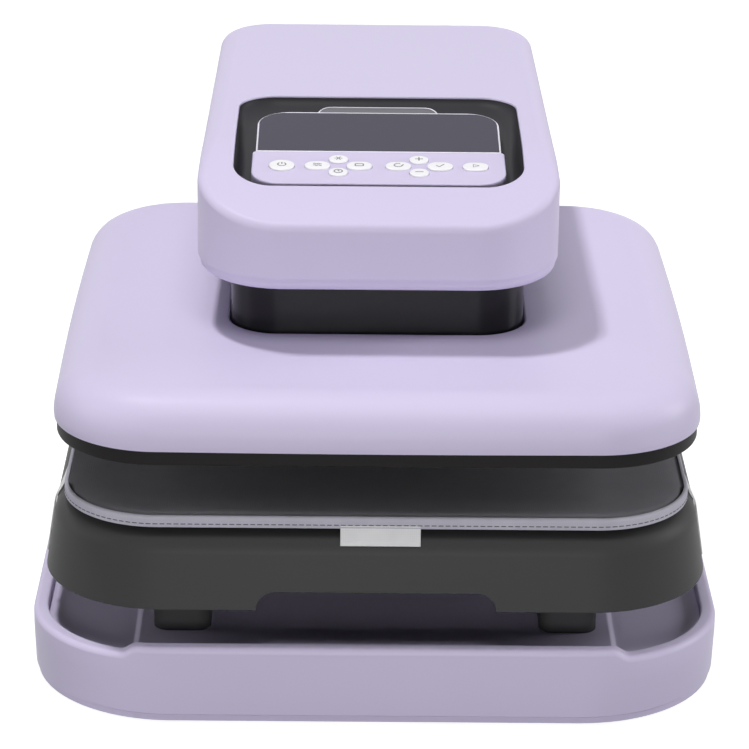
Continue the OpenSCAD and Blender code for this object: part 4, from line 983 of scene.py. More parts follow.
@dataclass
class Drawer:
    """Tray of the pull-out drawer with its finger cut-out, and the mat, straps and tag on it."""

    mat: Mat = field(default_factory=Mat)
    corner_r: float = 80.0
    edge_r: float = 16.0
    lean: float = 8.0
    wall: float = 3.0
    ceiling: float = 10.0
    pull_half: float = 78.0
    pull_h: float = 12.0
    pull_run: float = 13.0
    rail_x: float = 128.0
    rail_half: float = 24.0
    rail_room: float = 5.0
    rail_h: float = 23.5
    rail_bridge: float = 2.0
    notch_step: float = 0.1
    plate_r: float = 56.0
    plate_gap: float = 0.3
    # Where the skirt has points between its corners: inside the cut-out, beyond it, and behind
    pull_grid: float = 60.0
    front_grid: Pair = (82.0, 130.0)
    rear_grid: Triple = (20.0, 60.0, 95.0)
    # Rounded lower edge of the skirt, from its outer face and its hem
    hem_round: Profile = ((0.8, 0.0), (0.2, 0.2), (0.0, 0.8))
    band_gap: float = 0.3
    strap_w: float = 4.5
    strap_t: float = 1.2
    strap_slant: float = 17.0
    strap_foot: float = 1.0
    # Start of a strap and of the tag: inset from the mat's edge and height over its seam
    strap_root: Pair = (2.0, 1.0)
    tag_root: Pair = (0.5, 1.5)
    # Insets of the strap's hook under the skirt, where it starts and where it ends
    hook: Pair = (1.0, 9.0)
    tag_w: float = 52.0
    tag_t: float = 0.8
    tag_aside: float = 2.5
    tag_short: float = 4.0

    def build(self, shop: Workshop) -> None:
        """Make the tray and everything that lies on it.

        Args:
            shop: Where the pieces are made.
        """
        box = Box.of("drawer_shell")
        shop.place("drawer_tray", self.tray(box), Body.DRAWER, Slot.GRAPHITE, "drawer_shell")
        self.mat.build(shop)
        self.straps(shop, box)
        self.tag(shop, box)

    def hem(self, x: Array, y: Array, low: float) -> Array:
        """Level of the skirt's lower edge: raised at the cut-out in front and over the rails behind.

        Args:
            x: Places across.
            y: Places along, from the tray's middle.
            low: Level of the skirt's foot.

        Returns:
            One level for each place; the ends of the cut-out rise by quarter circles.
        """
        inward = np.clip((self.pull_half - np.abs(x)) / self.pull_run, 0, 1)
        pull = self.pull_h * np.sqrt(1 - (1 - inward) ** 2)
        aside = np.abs(x) - self.rail_x
        rails = self.rail_h * ((aside > -self.rail_half) & (aside < self.rail_half + self.rail_room))
        return low + np.where(y < 0, pull, rails)

    def grid(self, flat: float) -> dict[str, Array]:
        """Places of the points along the tray's front and back sides.

        Args:
            flat: Half of the straight stretch between two corners.

        Returns:
            Shares of that stretch for the front and for the back.
        """
        turn = np.radians(np.linspace(0, 90, 10))
        curve = self.pull_half - self.pull_run * (1 - np.cos(turn))
        right = np.concatenate((np.linspace(0, self.pull_grid, 5), curve[::-1],
                                np.linspace(*self.front_grid, 5)))
        lane = self.rail_x - self.rail_half
        rear = np.array((*self.rear_grid, lane - self.notch_step, lane + self.notch_step, self.rail_x))
        return {"front": (np.concatenate((-right[:0:-1], right)) + flat) / (2 * flat),
                "back": (flat - np.concatenate((rear[::-1], -rear))) / (2 * flat)}

    def tray(self, box: Box) -> Surface:
        """Closed tray: hollow below, skirt with cut-outs, rounded edge and a pocket for the deck plate.

        Args:
            box: Box of the drawer shell.

        Returns:
            The skin.
        """
        low, top = box.low[2], box.high[2]
        plate = Box.of("deck_plate")
        places = self.grid(box.size[0] / 2 - self.corner_r)
        outline = Outline.around(box, self.corner_r, arc=24, **places)
        pocket = Outline.around(plate, self.plate_r, 2 * self.plate_gap, arc=24, **places)
        hem = self.hem(outline.points[:, 0], outline.points[:, 1] - box.middle[1], low)
        inner = self.lean + self.wall
        rise = self.lean / box.size[2]
        skirt = outline.stack([(inner, top - self.ceiling), (inner, hem)]
                              + shifted(self.hem_round, (hem - low) * rise, hem))
        level = low + self.rail_h + self.rail_bridge
        hub, tilt = self.shoulder(box)
        angle = np.linspace(tilt, math.pi / 2, 14)
        turn = list(zip(hub - self.edge_r * np.cos(angle), top - self.edge_r * (1 - np.sin(angle))))
        edge = outline.stack([((level - low) * rise, level)] + turn)
        sunk = pocket.stack([(0.0, top), (0.0, plate.low[2])])
        return loft(np.concatenate((skirt, edge, sunk)), capped=True)

    def shoulder(self, box: Box) -> Pair:
        """Place of the rounded edge, for a circle that touches the leaning wall and the flat top.

        Args:
            box: Box of the drawer shell.

        Returns:
            Inset of the circle's centre, and the wall's tilt in radians.
        """
        tilt = math.atan2(self.lean, box.size[2])
        drop = self.lean * (box.size[2] - self.edge_r) / box.size[2]
        return drop + self.edge_r / math.cos(tilt), tilt

    def over_edge(self, start: Pair, reach: float, box: Box, lift: float,
                  low: float) -> tuple[Array, Array]:
        """Way of a band over the tray's rounded edge, in its own upright plane.

        It leaves the mat's seam, comes down straight to the edge, turns over it by part of a circle and
        lies down the leaning skirt, if it does not end on the edge.

        Args:
            start: Where it leaves the mat: distance from the tray's middle, and level.
            reach: Distance of the skirt's foot from the tray's middle.
            box: Box of the tray.
            lift: Height of the band's middle over the tray.
            low: Level where the band ends.

        Returns:
            Points (outwards, up) and the directions away from the tray.
        """
        inset, tilt = self.shoulder(box)
        hub = np.array((reach - inset, box.high[2] - self.edge_r))
        radius = self.edge_r + lift
        stop = max(tilt, math.asin(float(np.clip((low - hub[1]) / radius, -1, 1))))
        turn = rays(np.linspace(math.radians(45), stop, 8))
        bend = hub + radius * turn
        lead = np.linspace(start, bend[0], 6)[:-1]
        foot = bend[-1] + (bend[-1][1] - low) * np.array((math.tan(tilt), -1.0))
        skirt = np.linspace(bend[-1], foot, 8)[1:] if stop == tilt else np.empty((0, 2))
        before, after = np.broadcast_to(turn[0], lead.shape), np.broadcast_to(turn[-1], skirt.shape)
        return np.vstack((lead, bend, skirt)), np.vstack((before, turn, after))

    def straps(self, shop: Workshop, box: Box) -> None:
        """Lay four thin elastic bands aslant from the mat over the tray's flanks and under its skirt.

        Args:
            shop: Where the pieces are made.
            box: Box of the drawer shell.
        """
        mat, across = Box.of("press_mat"), Box.of("mat_straps")
        rows = {"front": (across.low[1] + self.strap_w / 2, -1),
                "back": (across.high[1] - self.strap_w / 2, 1)}
        half, foot = box.size[0] / 2, box.low[2]
        lift = self.band_gap + self.strap_t / 2
        root = (mat.size[0] / 2 - self.strap_root[0], mat.low[2] + self.mat.seam_h + self.strap_root[1])
        flat, away = self.over_edge(root, half, box, lift, foot + self.strap_foot)
        hook = np.array([(half - inset, foot - lift) for inset in self.hook])
        flat = np.vstack((flat, hook))
        away = np.vstack((away, np.broadcast_to((0.0, -1.0), hook.shape)))
        outward = np.maximum.accumulate(flat[:, 0])
        slant = 1 - 2 * np.clip((outward - flat[0, 0]) / (half - self.lean - flat[0, 0]), 0, 1)
        section = stadium(self.strap_w, self.strap_t, across=3)
        for row, (middle, lean) in rows.items():
            along = middle - lean * self.strap_slant * slant
            for flank, side in (("left", -1), ("right", 1)):
                path = np.column_stack((side * flat[:, 0], along, flat[:, 1]))
                up = np.column_stack((side * away[:, 0], np.zeros(len(path)), away[:, 1]))
                band = shop.place(f"strap_{row}_{flank}", sweep(path, up, section), Body.DRAWER,
                                  Slot.CLOTH, sharp=50.0)
                if row == "front" and side < 0:
                    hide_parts("mat_straps")

    def tag(self, shop: Workshop, box: Box) -> None:
        """Hang the plain cloth tag from the mat's front seam over the tray's edge.

        Args:
            shop: Where the piece is made.
            box: Box of the drawer shell.
        """
        mat, place = Box.of("press_mat"), Box.of("mat_tag")
        middle = box.middle[1]
        lift = self.band_gap + self.tag_t / 2
        root = (middle - mat.low[1] - self.tag_root[0], mat.low[2] + self.mat.seam_h + self.tag_root[1])
        flat, away = self.over_edge(root, middle - box.low[1], box, lift, place.low[2] + self.tag_short)
        x = np.full(len(flat), place.middle[0] + self.tag_aside)
        path = np.column_stack((x, middle - flat[:, 0], flat[:, 1]))
        up = np.column_stack((np.zeros(len(flat)), -away[:, 0], away[:, 1]))
        surface = sweep(path, up, stadium(self.tag_w, self.tag_t, across=10))
        cloth = shop.place("mat_label_blank", surface, Body.DRAWER, Slot.CLOTH, "mat_tag", sharp=50.0)


@dataclass
class Platen:
    """Domed cover of the heated plate and the dark band round its lower edge."""

    corner_r: float = 71.0
    bow: float = 1.5
    rise: float = 34.0
    run: float = 33.5
    fullness: float = 2.4
    crown: float = 3.0
    wall: float = 3.0
    hole_w: float = 199.0
    hole_d: float = 192.0
    hole_r: float = 33.0
    lip: float = 2.0
    throat: float = 8.0
    # Eased lower edge, from the outline and the lowest level
    foot: Profile = ((1.0, 0.0), (0.3, 0.25))
    # Rounded edge of the opening, from its wall and the crown's top
    mouth: Profile = ((-0.9, -0.35), (-0.25, -1.0))
    # Inner skin: inset beyond the edge's run, then inset beyond the wall and drop under the edge
    ceiling_in: float = 5.0
    knee: Pair = (6.0, 12.0)
    band_r: float = 67.5
    band_w: float = 14.0
    band_ease: float = 1.5
    band_round: float = 0.45

    def build(self, shop: Workshop) -> None:
        """Make the cover and the band.

        Args:
            shop: Where the pieces are made.
        """
        cover = self.shell(Box.of("platen_cover"))
        shop.place("platen_shell", cover, Body.PLATEN, Slot.LAVENDER, "platen_cover", sharp=45.0)
        band = self.band(Box.of("platen_rim"))
        shop.place("platen_band", band, Body.PLATEN, Slot.BLACK, "platen_rim")

    def shell(self, box: Box) -> Surface:
        """Closed cover: a superellipse edge, a low sine crown up to the opening, and the inner skin.

        Args:
            box: Box of the platen cover.

        Returns:
            The skin.
        """
        outline = Outline.around(box, self.corner_r, -2 * self.bow, bow=self.bow, arc=28, side=30)
        hole = Outline.rounded(self.hole_w, self.hole_d, self.hole_r, centre=tuple(box.middle[:2]),
                               arc=28, side=30)
        low = box.low[2]
        brow = low + self.rise
        top = brow + self.crown
        angle = np.radians(np.linspace(0, 90, 30))
        insets = self.run * (1 - np.cos(angle).clip(0) ** (2 / self.fullness))
        heights = low + self.rise * np.sin(angle) ** (2 / self.fullness)
        edge = outline.stack(shifted(self.foot, 0.0, low) + list(zip(insets, heights))[1:])
        shares = np.linspace(0, 1, 16)[1:]
        crown = between(edge[-1], hole.ring(-self.lip, top), shares)
        crown[..., 2] = (brow + self.crown * np.sin(np.pi / 2 * shares))[:, None]
        throat = [(0.0, top - self.lip), (0.0, top - self.throat)]
        mouth = hole.stack(shifted(self.mouth, 0.0, top) + throat)
        inner = outline.stack([(self.run + self.ceiling_in, top - self.throat),
                               (self.wall + self.knee[0], brow - self.knee[1]), (self.wall, low)])
        return loft(np.concatenate((edge, crown, mouth, inner)), wrap=True)

    def band(self, box: Box) -> Surface:
        """Closed ring under the cover with eased lower edges.

        Args:
            box: Box of the platen rim.

        Returns:
            The skin.
        """
        outline = Outline.around(box, self.band_r, arc=24)
        low, top = box.low[2], box.high[2]
        profile = [(0.0, low + self.band_ease), (0.0, top), (self.band_w, top), (self.band_w, low),
                   (self.band_ease, low), (self.band_round, low + self.band_round)]
        return loft(outline.stack(profile), wrap=True)


@dataclass
class Head:
    """Overhanging head in two shells, with the neck under it."""

    front_r: float = 58.0
    back_r: float = 40.0
    taper: float = 4.0
    front_edge: float = 5.0
    flank_edge: float = 12.0
    # Where along y the edge's radius grows from the front's to the flanks'
    edge_blend: Pair = (-120.0, -20.0)
    roll_r: float = 290.0
    roll: float = 127.0
    # Eased lower edge, from the plan curve and the lowest level
    foot: Profile = ((0.8, 0.0), (0.2, 0.25), (0.0, 0.9))
    wall_shares: Pair = (0.35, 0.7)
    # Rounded edge of the panel's opening, from its wall and the head's top
    mouth: Profile = ((-0.35, -0.35), (0.0, -1.2), (0.0, -9.0))
    mouth_w: float = 1.2
    wall: float = 3.0
    knee: float = 12.0
    # Inner ceiling: inset, and drop under the head's top
    ceiling: Pair = (16.0, 28.0)
    recess_r: float = 26.3
    recess_room: float = 0.6
    step: float = 1.5
    tray_r: float = 5.5
    tray_web: float = 5.0
    neck_w: float = 197.0
    neck_d: float = 190.0
    neck_r: float = 32.0
    neck_wall: float = 3.0
    neck_ease: float = 0.8
    neck_bite: float = 1.0

    def build(self, shop: Workshop) -> None:
        """Make both shells and the neck.

        Args:
            shop: Where the pieces are made.
        """
        box, neck = Box.of("head_top_cover"), Box.of("neck")
        tray = self.tray(box, Box.of("head_bottom_cover"), neck)
        shop.place("head_crown", self.crown(box), Body.HOUSING, Slot.LAVENDER, "head_top_cover")
        shop.place("head_tray", tray, Body.HOUSING, Slot.LAVENDER, "head_bottom_cover")
        shop.place("neck_sleeve", self.sleeve(neck), Body.HOUSING, Slot.GLOSS, "neck")

    def level(self, y: float | Array, box: Box) -> float | Array:
        """Height of the head's top: flat behind, rolling down to the front by a parabola."""
        ahead = np.clip(box.low[1] + self.roll - y, 0, None)
        return box.high[2] - ahead ** 2 / (2 * self.roll_r)

    def plan(self, box: Box) -> Outline:
        """Plan curve of the head."""
        return Outline.around(box, self.front_r, back_r=self.back_r, taper=self.taper, arc=24, side=28)

    def recess(self, gap: float) -> Outline:
        """Plan curve of the opening for the panel, drawn in by a gap."""
        grow = self.recess_room - 2 * gap
        return Outline.around(Box.of("panel_bezel"), self.recess_r - gap, grow, arc=24, side=28)

    def crown(self, box: Box) -> Surface:
        """Closed upper shell: walls, an edge of changing radius, the rolling top and the panel's opening.

        Args:
            box: Box of the top cover.

        Returns:
            The skin.
        """
        plan = self.plan(box)
        low = box.low[2]
        blend = ease(*self.edge_blend, plan.points[:, 1])
        radius = self.front_edge + (self.flank_edge - self.front_edge) * blend
        rim = self.level(plan.points[:, 1], box) - radius
        sides = [(0.0, low + (rim - low) * share) for share in self.wall_shares]
        walls = plan.stack(shifted(self.foot, 0.0, low) + sides)
        turn = np.radians(np.linspace(0, 90, 10))
        edge = plan.stack([(radius * (1 - math.cos(a)), rim + radius * math.sin(a)) for a in turn])
        drop = self.level(edge[-1][:, 1], box) - edge[-1][:, 2]
        edge[..., 2] += np.outer(np.sin(turn), drop)
        opening = self.recess(0.0)
        top = between(edge[-1], opening.ring(-self.mouth_w, 0.0), np.linspace(0, 1, 18)[1:])
        top[..., 2] = self.level(top[..., 1], box)
        mouth = opening.stack(shifted(self.mouth, 0.0, self.level(opening.points[:, 1], box)))
        inner = plan.stack([(self.ceiling[0], box.high[2] - self.ceiling[1]), (self.wall, low + self.knee),
                            (self.wall, low)])
        return loft(np.concatenate((walls, edge, top, mouth, inner)), wrap=True)

    def tray(self, top_box: Box, box: Box, neck: Box) -> Surface:
        """Closed lower shell: a shallow dish with a rounded lower edge and the neck's opening.

        Args:
            top_box: Box of the top cover, whose plan it follows.
            box: Box of the bottom cover.
            neck: Box of the neck.

        Returns:
            The skin.
        """
        plan = self.plan(top_box)
        hole = Outline.rounded(self.neck_w - self.neck_bite, self.neck_d - self.neck_bite, self.neck_r,
                               centre=tuple(neck.middle[:2]), arc=24, side=28)
        low, top = box.low[2], box.high[2]
        turn = np.radians(np.linspace(-90, 0, 8))
        insets = self.step + self.tray_r * (1 - np.cos(turn))
        curve = list(zip(insets, low + self.tray_r * (1 + np.sin(turn))))
        ledge = [(self.step, top), (self.step + self.wall, top),
                 (self.step + self.tray_web, low + self.wall)]
        outer = plan.stack(curve + ledge)
        rings = (hole.stack([(0.0, low)]), outer, hole.stack([(0.0, low + self.wall)]))
        return loft(np.concatenate(rings), wrap=True)

    def sleeve(self, box: Box) -> Surface:
        """Closed rounded tube of the neck.

        Args:
            box: Box of the neck.

        Returns:
            The skin.
        """
        outline = Outline.rounded(self.neck_w, self.neck_d, self.neck_r, centre=tuple(box.middle[:2]),
                                  arc=24)
        low, top = box.low[2], box.high[2]
        profile = [(self.neck_ease, low), (0.0, low + self.neck_ease), (0.0, top), (self.neck_wall, top),
                   (self.neck_wall, low)]
        return loft(outline.stack(profile), wrap=True)


@dataclass(frozen=True)
class Cap:
    """One push button: its node, place and size on the panel, and its mark."""

    node: str
    x: float
    y: float
    width: float
    depth: float
    sign: Sign


@dataclass
class Marks:
    """Draws the generic marks of the buttons from bars and arcs, around the origin."""

    line: float = 0.9
    thick: float = 0.16
    reach: float = 2.7

    def stroke(self, points: Array, closed: bool = False) -> Surface:
        """A thin raised line through the given plan points."""
        path = np.column_stack((points, np.zeros(len(points))))
        return sweep(path, UP, stadium(self.line, self.thick, 2), closed)

    def bar(self, start: Pair, stop: Pair) -> Surface:
        """A straight line."""
        return self.stroke(np.linspace(start, stop, 3))

    def arc(self, radius: float, start: float, stop: float) -> Surface:
        """Part of a circle, or all of it.

        Args:
            radius: Its radius.
            start: First angle in degrees.
            stop: Last angle in degrees.

        Returns:
            The line.
        """
        closed = stop - start >= 360
        angle = np.radians(np.linspace(start, stop, 33))[: 32 if closed else 33]
        return self.stroke(radius * rays(angle), closed)

    def draw(self, sign: Sign) -> Surface:
        """The surface of one mark.

        Args:
            sign: Which mark.

        Returns:
            Its lines as one surface.
        """
        r = self.reach
        if sign is Sign.POWER:
            return self.arc(r, 125, 415) + self.bar((0, 0.6), (0, r + 0.6))
        if sign is Sign.CLOCK:
            return self.arc(r, 0, 360) + self.bar((0, 0), (0, 1.6)) + self.bar((0, 0), (1.2, 0))
        if sign is Sign.SUN:
            beams = [self.bar(1.9 * ray, r * ray) for ray in rays(np.radians(np.arange(0, 360, 60)))]
            return sum(beams, self.arc(0.9, 0, 360))
        if sign is Sign.WAVE:
            t = np.linspace(-1, 1, 33)
            wave = np.column_stack((r * t, 0.6 * np.sin(2 * np.pi * t)))
            return self.stroke(wave - (0, 1.3)) + self.stroke(wave + (0, 1.3))
        if sign is Sign.FRAME:
            return self.stroke(Outline.rounded(2 * r, 1.3 * r, 0.6, arc=3, side=4).points, True)
        if sign is Sign.PLUS:
            return self.bar((-r, 0), (r, 0)) + self.bar((0, -r), (0, r))
        if sign is Sign.MINUS:
            return self.bar((-r, 0), (r, 0))
        if sign is Sign.LOOP:
            return self.arc(r, 60, 360) + self.bar((r, 0), (r + 0.9, 1.0))
        if sign is Sign.TICK:
            return self.bar((-r, 0), (-0.6, -r * 0.75)) + self.bar((-0.6, -r * 0.75), (r, r * 0.8))
        return self.stroke(np.array(((-1.6, -2.2), (2.2, 0.0), (-1.6, 2.2))), True)


@dataclass
class Panel:
    """Control panel on a tilted plane in the head: bezel, console, display, buttons, finger rest."""

    head: Head
    tilt: float = 6.0
    setback: float = 45.0
    sunk: float = 0.6
    floor: float = -12.0
    floor_bite: float = 0.5
    # Upper edge of the bezel's wall and of its bowl, from the head's opening and top
    dish_lip: Profile = ((0.0, -1.4), (0.1, -1.3))
    dish_gap: float = 0.3
    dish_h: float = 25.0
    dish_w: float = 178.0
    dish_front: float = -2.0
    dish_back: float = 136.5
    dish_r: float = 22.0
    strip_w: float = 170.0
    strip_d: float = 53.5
    strip_r: float = 20.0
    strip_back_r: float = 3.0
    strip_edge: float = 1.2
    crisp: float = 30.0
    frame_w: float = 166.0
    frame_back: float = 122.5
    frame_r: float = 22.0
    frame_front_r: float = 0.8
    frame_edge: float = 0.9
    frame_bite: float = 0.5
    pocket_lip: float = 0.2
    lens_w: float = 163.0
    lens_d: float = 67.5
    lens_r: float = 19.0
    lens_front_r: float = 0.7
    lens_t: float = 1.6
    lens_drop: float = 0.05
    lens_gap: float = 0.3
    lens_edge: float = 0.3
    cap_top: float = 1.2
    cap_gap: float = 0.35
    cap_share: float = 0.49
    cap_edge: float = 0.6
    cap_foot: float = -4.0
    # Low dome of a cap: its rise, its bend, and the shares of the corner radius where it has rings
    dome_h: float = 0.25
    dome_bend: float = 2.6
    dome_shares: tuple[float, ...] = (0.16, 0.26, 0.38, 0.5, 0.6)
    mark_lift: float = 0.28
    plug_span: Pair = (-6.0, 4.0)
    rest_w: float = 84.0
    rest_d: float = 26.5
    rest_r: float = 10.0
    rest_h: float = 1.0
    rest_rise: float = 3.2
    rest_front: float = 123.5
    rest_tip: float = 0.1
    # Shares of the rest's depth where its rise ends and where its rim's edges are
    rest_rim: Triple = (0.96, 0.97, 1.0)
    # Share of the half width where the rest's ends start to rise, and how fast
    rest_end: Pair = (0.8, 2.0)
    rim_t: float = 0.9
    single_x: float = 64.8
    pad_x: float = 27.0
    pad_reach: float = 14.0
    pad_y: float = 27.5
    pad_step: float = 10.8
    small: float = 12.8
    wide: float = 17.0
    origin: Array = field(init=False)

    def __post_init__(self) -> None:
        """Find the panel's origin, a little under the rolling top of the head."""
        box = Box.of("head_top_cover")
        front = box.low[1] + self.setback
        self.origin = np.array((0.0, front, self.head.level(front, box) - self.sunk))

    def build(self, shop: Workshop) -> None:
        """Make every piece of the panel.

        Args:
            shop: Where the pieces are made.
        """
        shop.place("bezel_dish", self.dish(Box.of("head_top_cover")), Body.HOUSING, Slot.GRAPHITE,
                   "panel_bezel", finish=BEZEL)
        console = shop.place("console_strip", self.strip(), Body.HOUSING, Slot.LAVENDER,
                             "control_console", sharp=self.crisp)
        self.cut_holes(console)
        # The display housing takes the lighter lavender, a painted highlight on its thin rim.
        shop.place("display_housing", self.display(), Body.HOUSING, Slot.LAVENDER, sharp=self.crisp,
                   finish=PAINTED_HIGHLIGHT_LAVENDER)
        shop.place("display_window", self.lens(), Body.HOUSING, Slot.LENS, "display_lens")
        moon = self.rest()
        block = self.laid(slab(moon, self.floor - self.floor_bite))
        shop.place("finger_rest", block, Body.HOUSING, Slot.GRIP, "grip_scoop", sharp=50.0)
        # A pale bead along the rest's back edge: a painted highlight where the edge catches light.
        rim = self.laid(sweep(moon[:, -1], UP, stadium(self.rim_t, self.rim_t, 3)))
        shop.place("finger_rest_rim_painted_highlight", rim, Body.HOUSING, Slot.GRIP, finish=PAINTED_HIGHLIGHT_LAVENDER)
        marks = Marks()
        for cap in self.caps():
            top = self.laid(self.cap(cap), cap)
            shop.place(cap.node + "_cap", top, cap.node, Slot.BUTTON, cap.node)
            mark = self.laid(marks.draw(cap.sign), cap, self.cap_top + self.mark_lift)
            shop.place(cap.node + "_mark", mark, cap.node, Slot.GRAPHITE, finish=PRINT)

    def caps(self) -> list[Cap]:
        """The ten buttons: power, two pads of four and start.

        Returns:
            The buttons in the order in which they are made.
        """
        y, wide, small = self.pad_y, self.wide, self.small
        found = [Cap("power_button", -self.single_x, y, wide, wide, Sign.POWER),
                 Cap("start_button", self.single_x, y, wide, small, Sign.ARROW)]
        pads = {"left_pad": (-self.pad_x, (Sign.WAVE, Sign.SUN, Sign.CLOCK, Sign.FRAME)),
                "right_pad": (self.pad_x, (Sign.LOOP, Sign.PLUS, Sign.MINUS, Sign.TICK))}
        for pad, (x, signs) in pads.items():
            found += [Cap(pad + "_left", x - self.pad_reach, y, wide, small, signs[0]),
                      Cap(pad + "_back", x, y + self.pad_step, small, small, signs[1]),
                      Cap(pad + "_front", x, y - self.pad_step, small, small, signs[2]),
                      Cap(pad + "_right", x + self.pad_reach, y, wide, small, signs[3])]
        return found

    def world(self, points: Array) -> Array:
        """Panel points tilted about x and moved to the head.

        Args:
            points: Points on the panel's own plane.

        Returns:
            The same points in the frame.
        """
        cos, sin = math.cos(math.radians(self.tilt)), math.sin(math.radians(self.tilt))
        x, y, z = np.moveaxis(points, -1, 0)
        return np.stack((x, y * cos - z * sin, y * sin + z * cos), axis=-1) + self.origin

    def laid(self, surface: Surface, cap: Cap | None = None, lift: float = 0.0) -> Surface:
        """A surface drawn on the panel's plane, moved to a button's place and into the frame."""
        shift = np.array((cap.x, cap.y, lift)) if cap else np.zeros(3)
        return Surface(self.world(surface.points + shift), surface.quads, surface.caps)

    def dish(self, box: Box) -> Surface:
        """Closed bezel: a bowl wall, a quarter ellipse, from under the head's edge down to the floor.

        Args:
            box: Box of the head's top cover.

        Returns:
            The skin.
        """
        edge = self.head.recess(self.dish_gap)
        middle = (self.dish_front + self.dish_back) / 2
        floor = Outline.rounded(self.dish_w, self.dish_back - self.dish_front, self.dish_r,
                                centre=(0.0, middle), arc=24, side=28)
        brim = self.head.level(edge.points[:, 1], box)
        foot = edge.ring(0.0, box.low[2] + self.dish_h)
        lip, start = edge.stack(shifted(self.dish_lip, 0.0, brim))
        stop = self.world(floor.ring(0.0, self.floor))
        turn = np.radians(np.linspace(0, 90, 12))
        aside = 1 - np.cos(turn)
        bowl = start + (stop - start) * np.column_stack((aside, aside, np.sin(turn)))[:, None]
        return loft(np.concatenate((foot[None], lip[None], bowl)), capped=True)

    def strip(self) -> Surface:
        """Lower console with the buttons: a block with a rounded upper edge.

        Returns:
            The skin.
        """
        outline = Outline.rounded(self.strip_w, self.strip_d, self.strip_r, self.strip_back_r,
                                  (0.0, self.strip_d / 2), side=12)
        profile = [(0.0, self.floor - self.floor_bite)] + quarter_round(0.0, 0.0, self.strip_edge, 5)
        return self.laid(loft(outline.stack(profile), capped=True))

    def display(self) -> Surface:
        """Display housing: a thin rim round a shallow pocket for the lens.

        Returns:
            The skin.
        """
        depth = self.frame_back - self.strip_d + self.frame_bite
        outline = Outline.rounded(self.frame_w, depth, self.frame_front_r, self.frame_r,
                                  (0.0, self.frame_back - depth / 2))
        profile = [(0.0, self.floor - self.floor_bite)] + quarter_round(0.0, 0.0, self.frame_edge, 4)
        pocket = [(0.0, -self.pocket_lip), (0.0, -self.lens_t - self.lens_gap)]
        rings = np.concatenate((outline.stack(profile), self.window(self.lens_gap).stack(pocket)))
        return self.laid(loft(rings, capped=True))

    def window(self, gap: float) -> Outline:
        """Plan curve of the lens, grown by a gap."""
        centre = (0.0, self.strip_d + self.lens_d / 2)
        return Outline.rounded(self.lens_w + 2 * gap, self.lens_d + gap, self.lens_front_r,
                               self.lens_r + gap, centre)

    def lens(self) -> Surface:
        """Smoked display window with eased edges.

        Returns:
            The skin.
        """
        edge = quarter_round(0.0, -self.lens_drop, self.lens_edge, 3)
        rings = self.window(0.0).stack([(0.0, -self.lens_t - self.lens_gap)] + edge)
        return self.laid(loft(rings, capped=True))

    def button_plan(self, cap: Cap, gap: float = 0.0) -> Outline:
        """Plan curve of a button, grown by a gap in width and depth."""
        radius = self.cap_share * (min(cap.width, cap.depth) + gap)
        return Outline.rounded(cap.width + gap, cap.depth + gap, radius, arc=10, side=4)

    def cap(self, cap: Cap) -> Surface:
        """Button cap: straight wall, rounded edge, low dome by a sine and a flat middle for the mark.

        Args:
            cap: The button.

        Returns:
            The skin, around the origin.
        """
        radius = self.cap_share * min(cap.width, cap.depth)
        dome = [(radius * share, self.cap_top + self.dome_h * math.sin(share * self.dome_bend))
                for share in self.dome_shares]
        edge = quarter_round(0.0, self.cap_top, self.cap_edge, 4)
        rings = self.button_plan(cap).stack([(0.0, self.cap_foot)] + edge + dome)
        return loft(rings, capped=True)

    def rest(self) -> Array:
        """Grid of the finger rest behind the display: a half moon that rises to a flat rim by a square.

        Returns:
            Points by x step, y step and axis, on the panel's plane.
        """
        half = self.rest_w / 2
        x = (half - self.rest_tip) * np.sin(np.radians(np.linspace(-90, 90, 41)))
        beyond = np.clip(np.abs(x) - (half - self.rest_r), 0, None)
        reach = self.rest_d - self.rest_r + np.sqrt(self.rest_r ** 2 - beyond ** 2)
        share = np.concatenate((np.linspace(0, self.rest_rim[0], 14), self.rest_rim[1:]))
        y = self.rest_front + reach[:, None] * share
        rise = np.minimum((y - self.rest_front) / (self.rest_rim[0] * self.rest_d), 1) ** 2
        start, slope = self.rest_end
        ends = np.clip(np.abs(x) / half - start, 0, None)[:, None] * slope
        z = self.floor + self.rest_h + self.rest_rise * np.maximum(rise, ends)
        return np.stack((np.broadcast_to(x[:, None], y.shape), y, z), axis=-1)

    def cut_holes(self, console: bpy.types.Object) -> None:
        """Cut the buttons' holes through the strip.

        Args:
            console: The console, changed in place.
        """
        span = [(0.0, level) for level in self.plug_span]
        plugs = [self.laid(loft(self.button_plan(cap, 2 * self.cap_gap).stack(span), capped=True), cap)
                 for cap in self.caps()]
        cutter = stand("hole_plugs", sum(plugs[1:], plugs[0]).mesh("hole_plugs"))
        cut = console.modifiers.new("holes", "BOOLEAN")
        cut.operation = "DIFFERENCE"
        cut.object = cutter
        cut.solver = "EXACT"
        with bpy.context.temp_override(object=console, active_object=console):
            bpy.ops.object.modifier_move_to_index(modifier="holes", index=0)
            bpy.ops.object.modifier_apply(modifier="holes")
        bpy.data.objects.remove(cutter)
        console.data.set_sharp_from_angle(angle=math.radians(self.crisp))


@dataclass(frozen=True)
class Lamp:
    """One square area lamp: watts, edge and place in metres, and turn in degrees."""

    name: str
    watts: float
    size: float
    place: Triple
    turn: Triple

    def hang(self) -> None:
        """Put the lamp in the scene."""
        data = bpy.data.lights.new(self.name, "AREA")
        data.energy = self.watts
        data.size = self.size
        lamp = stand(self.name, data)
        lamp.location = self.place
        lamp.rotation_euler = [math.radians(angle) for angle in self.turn]


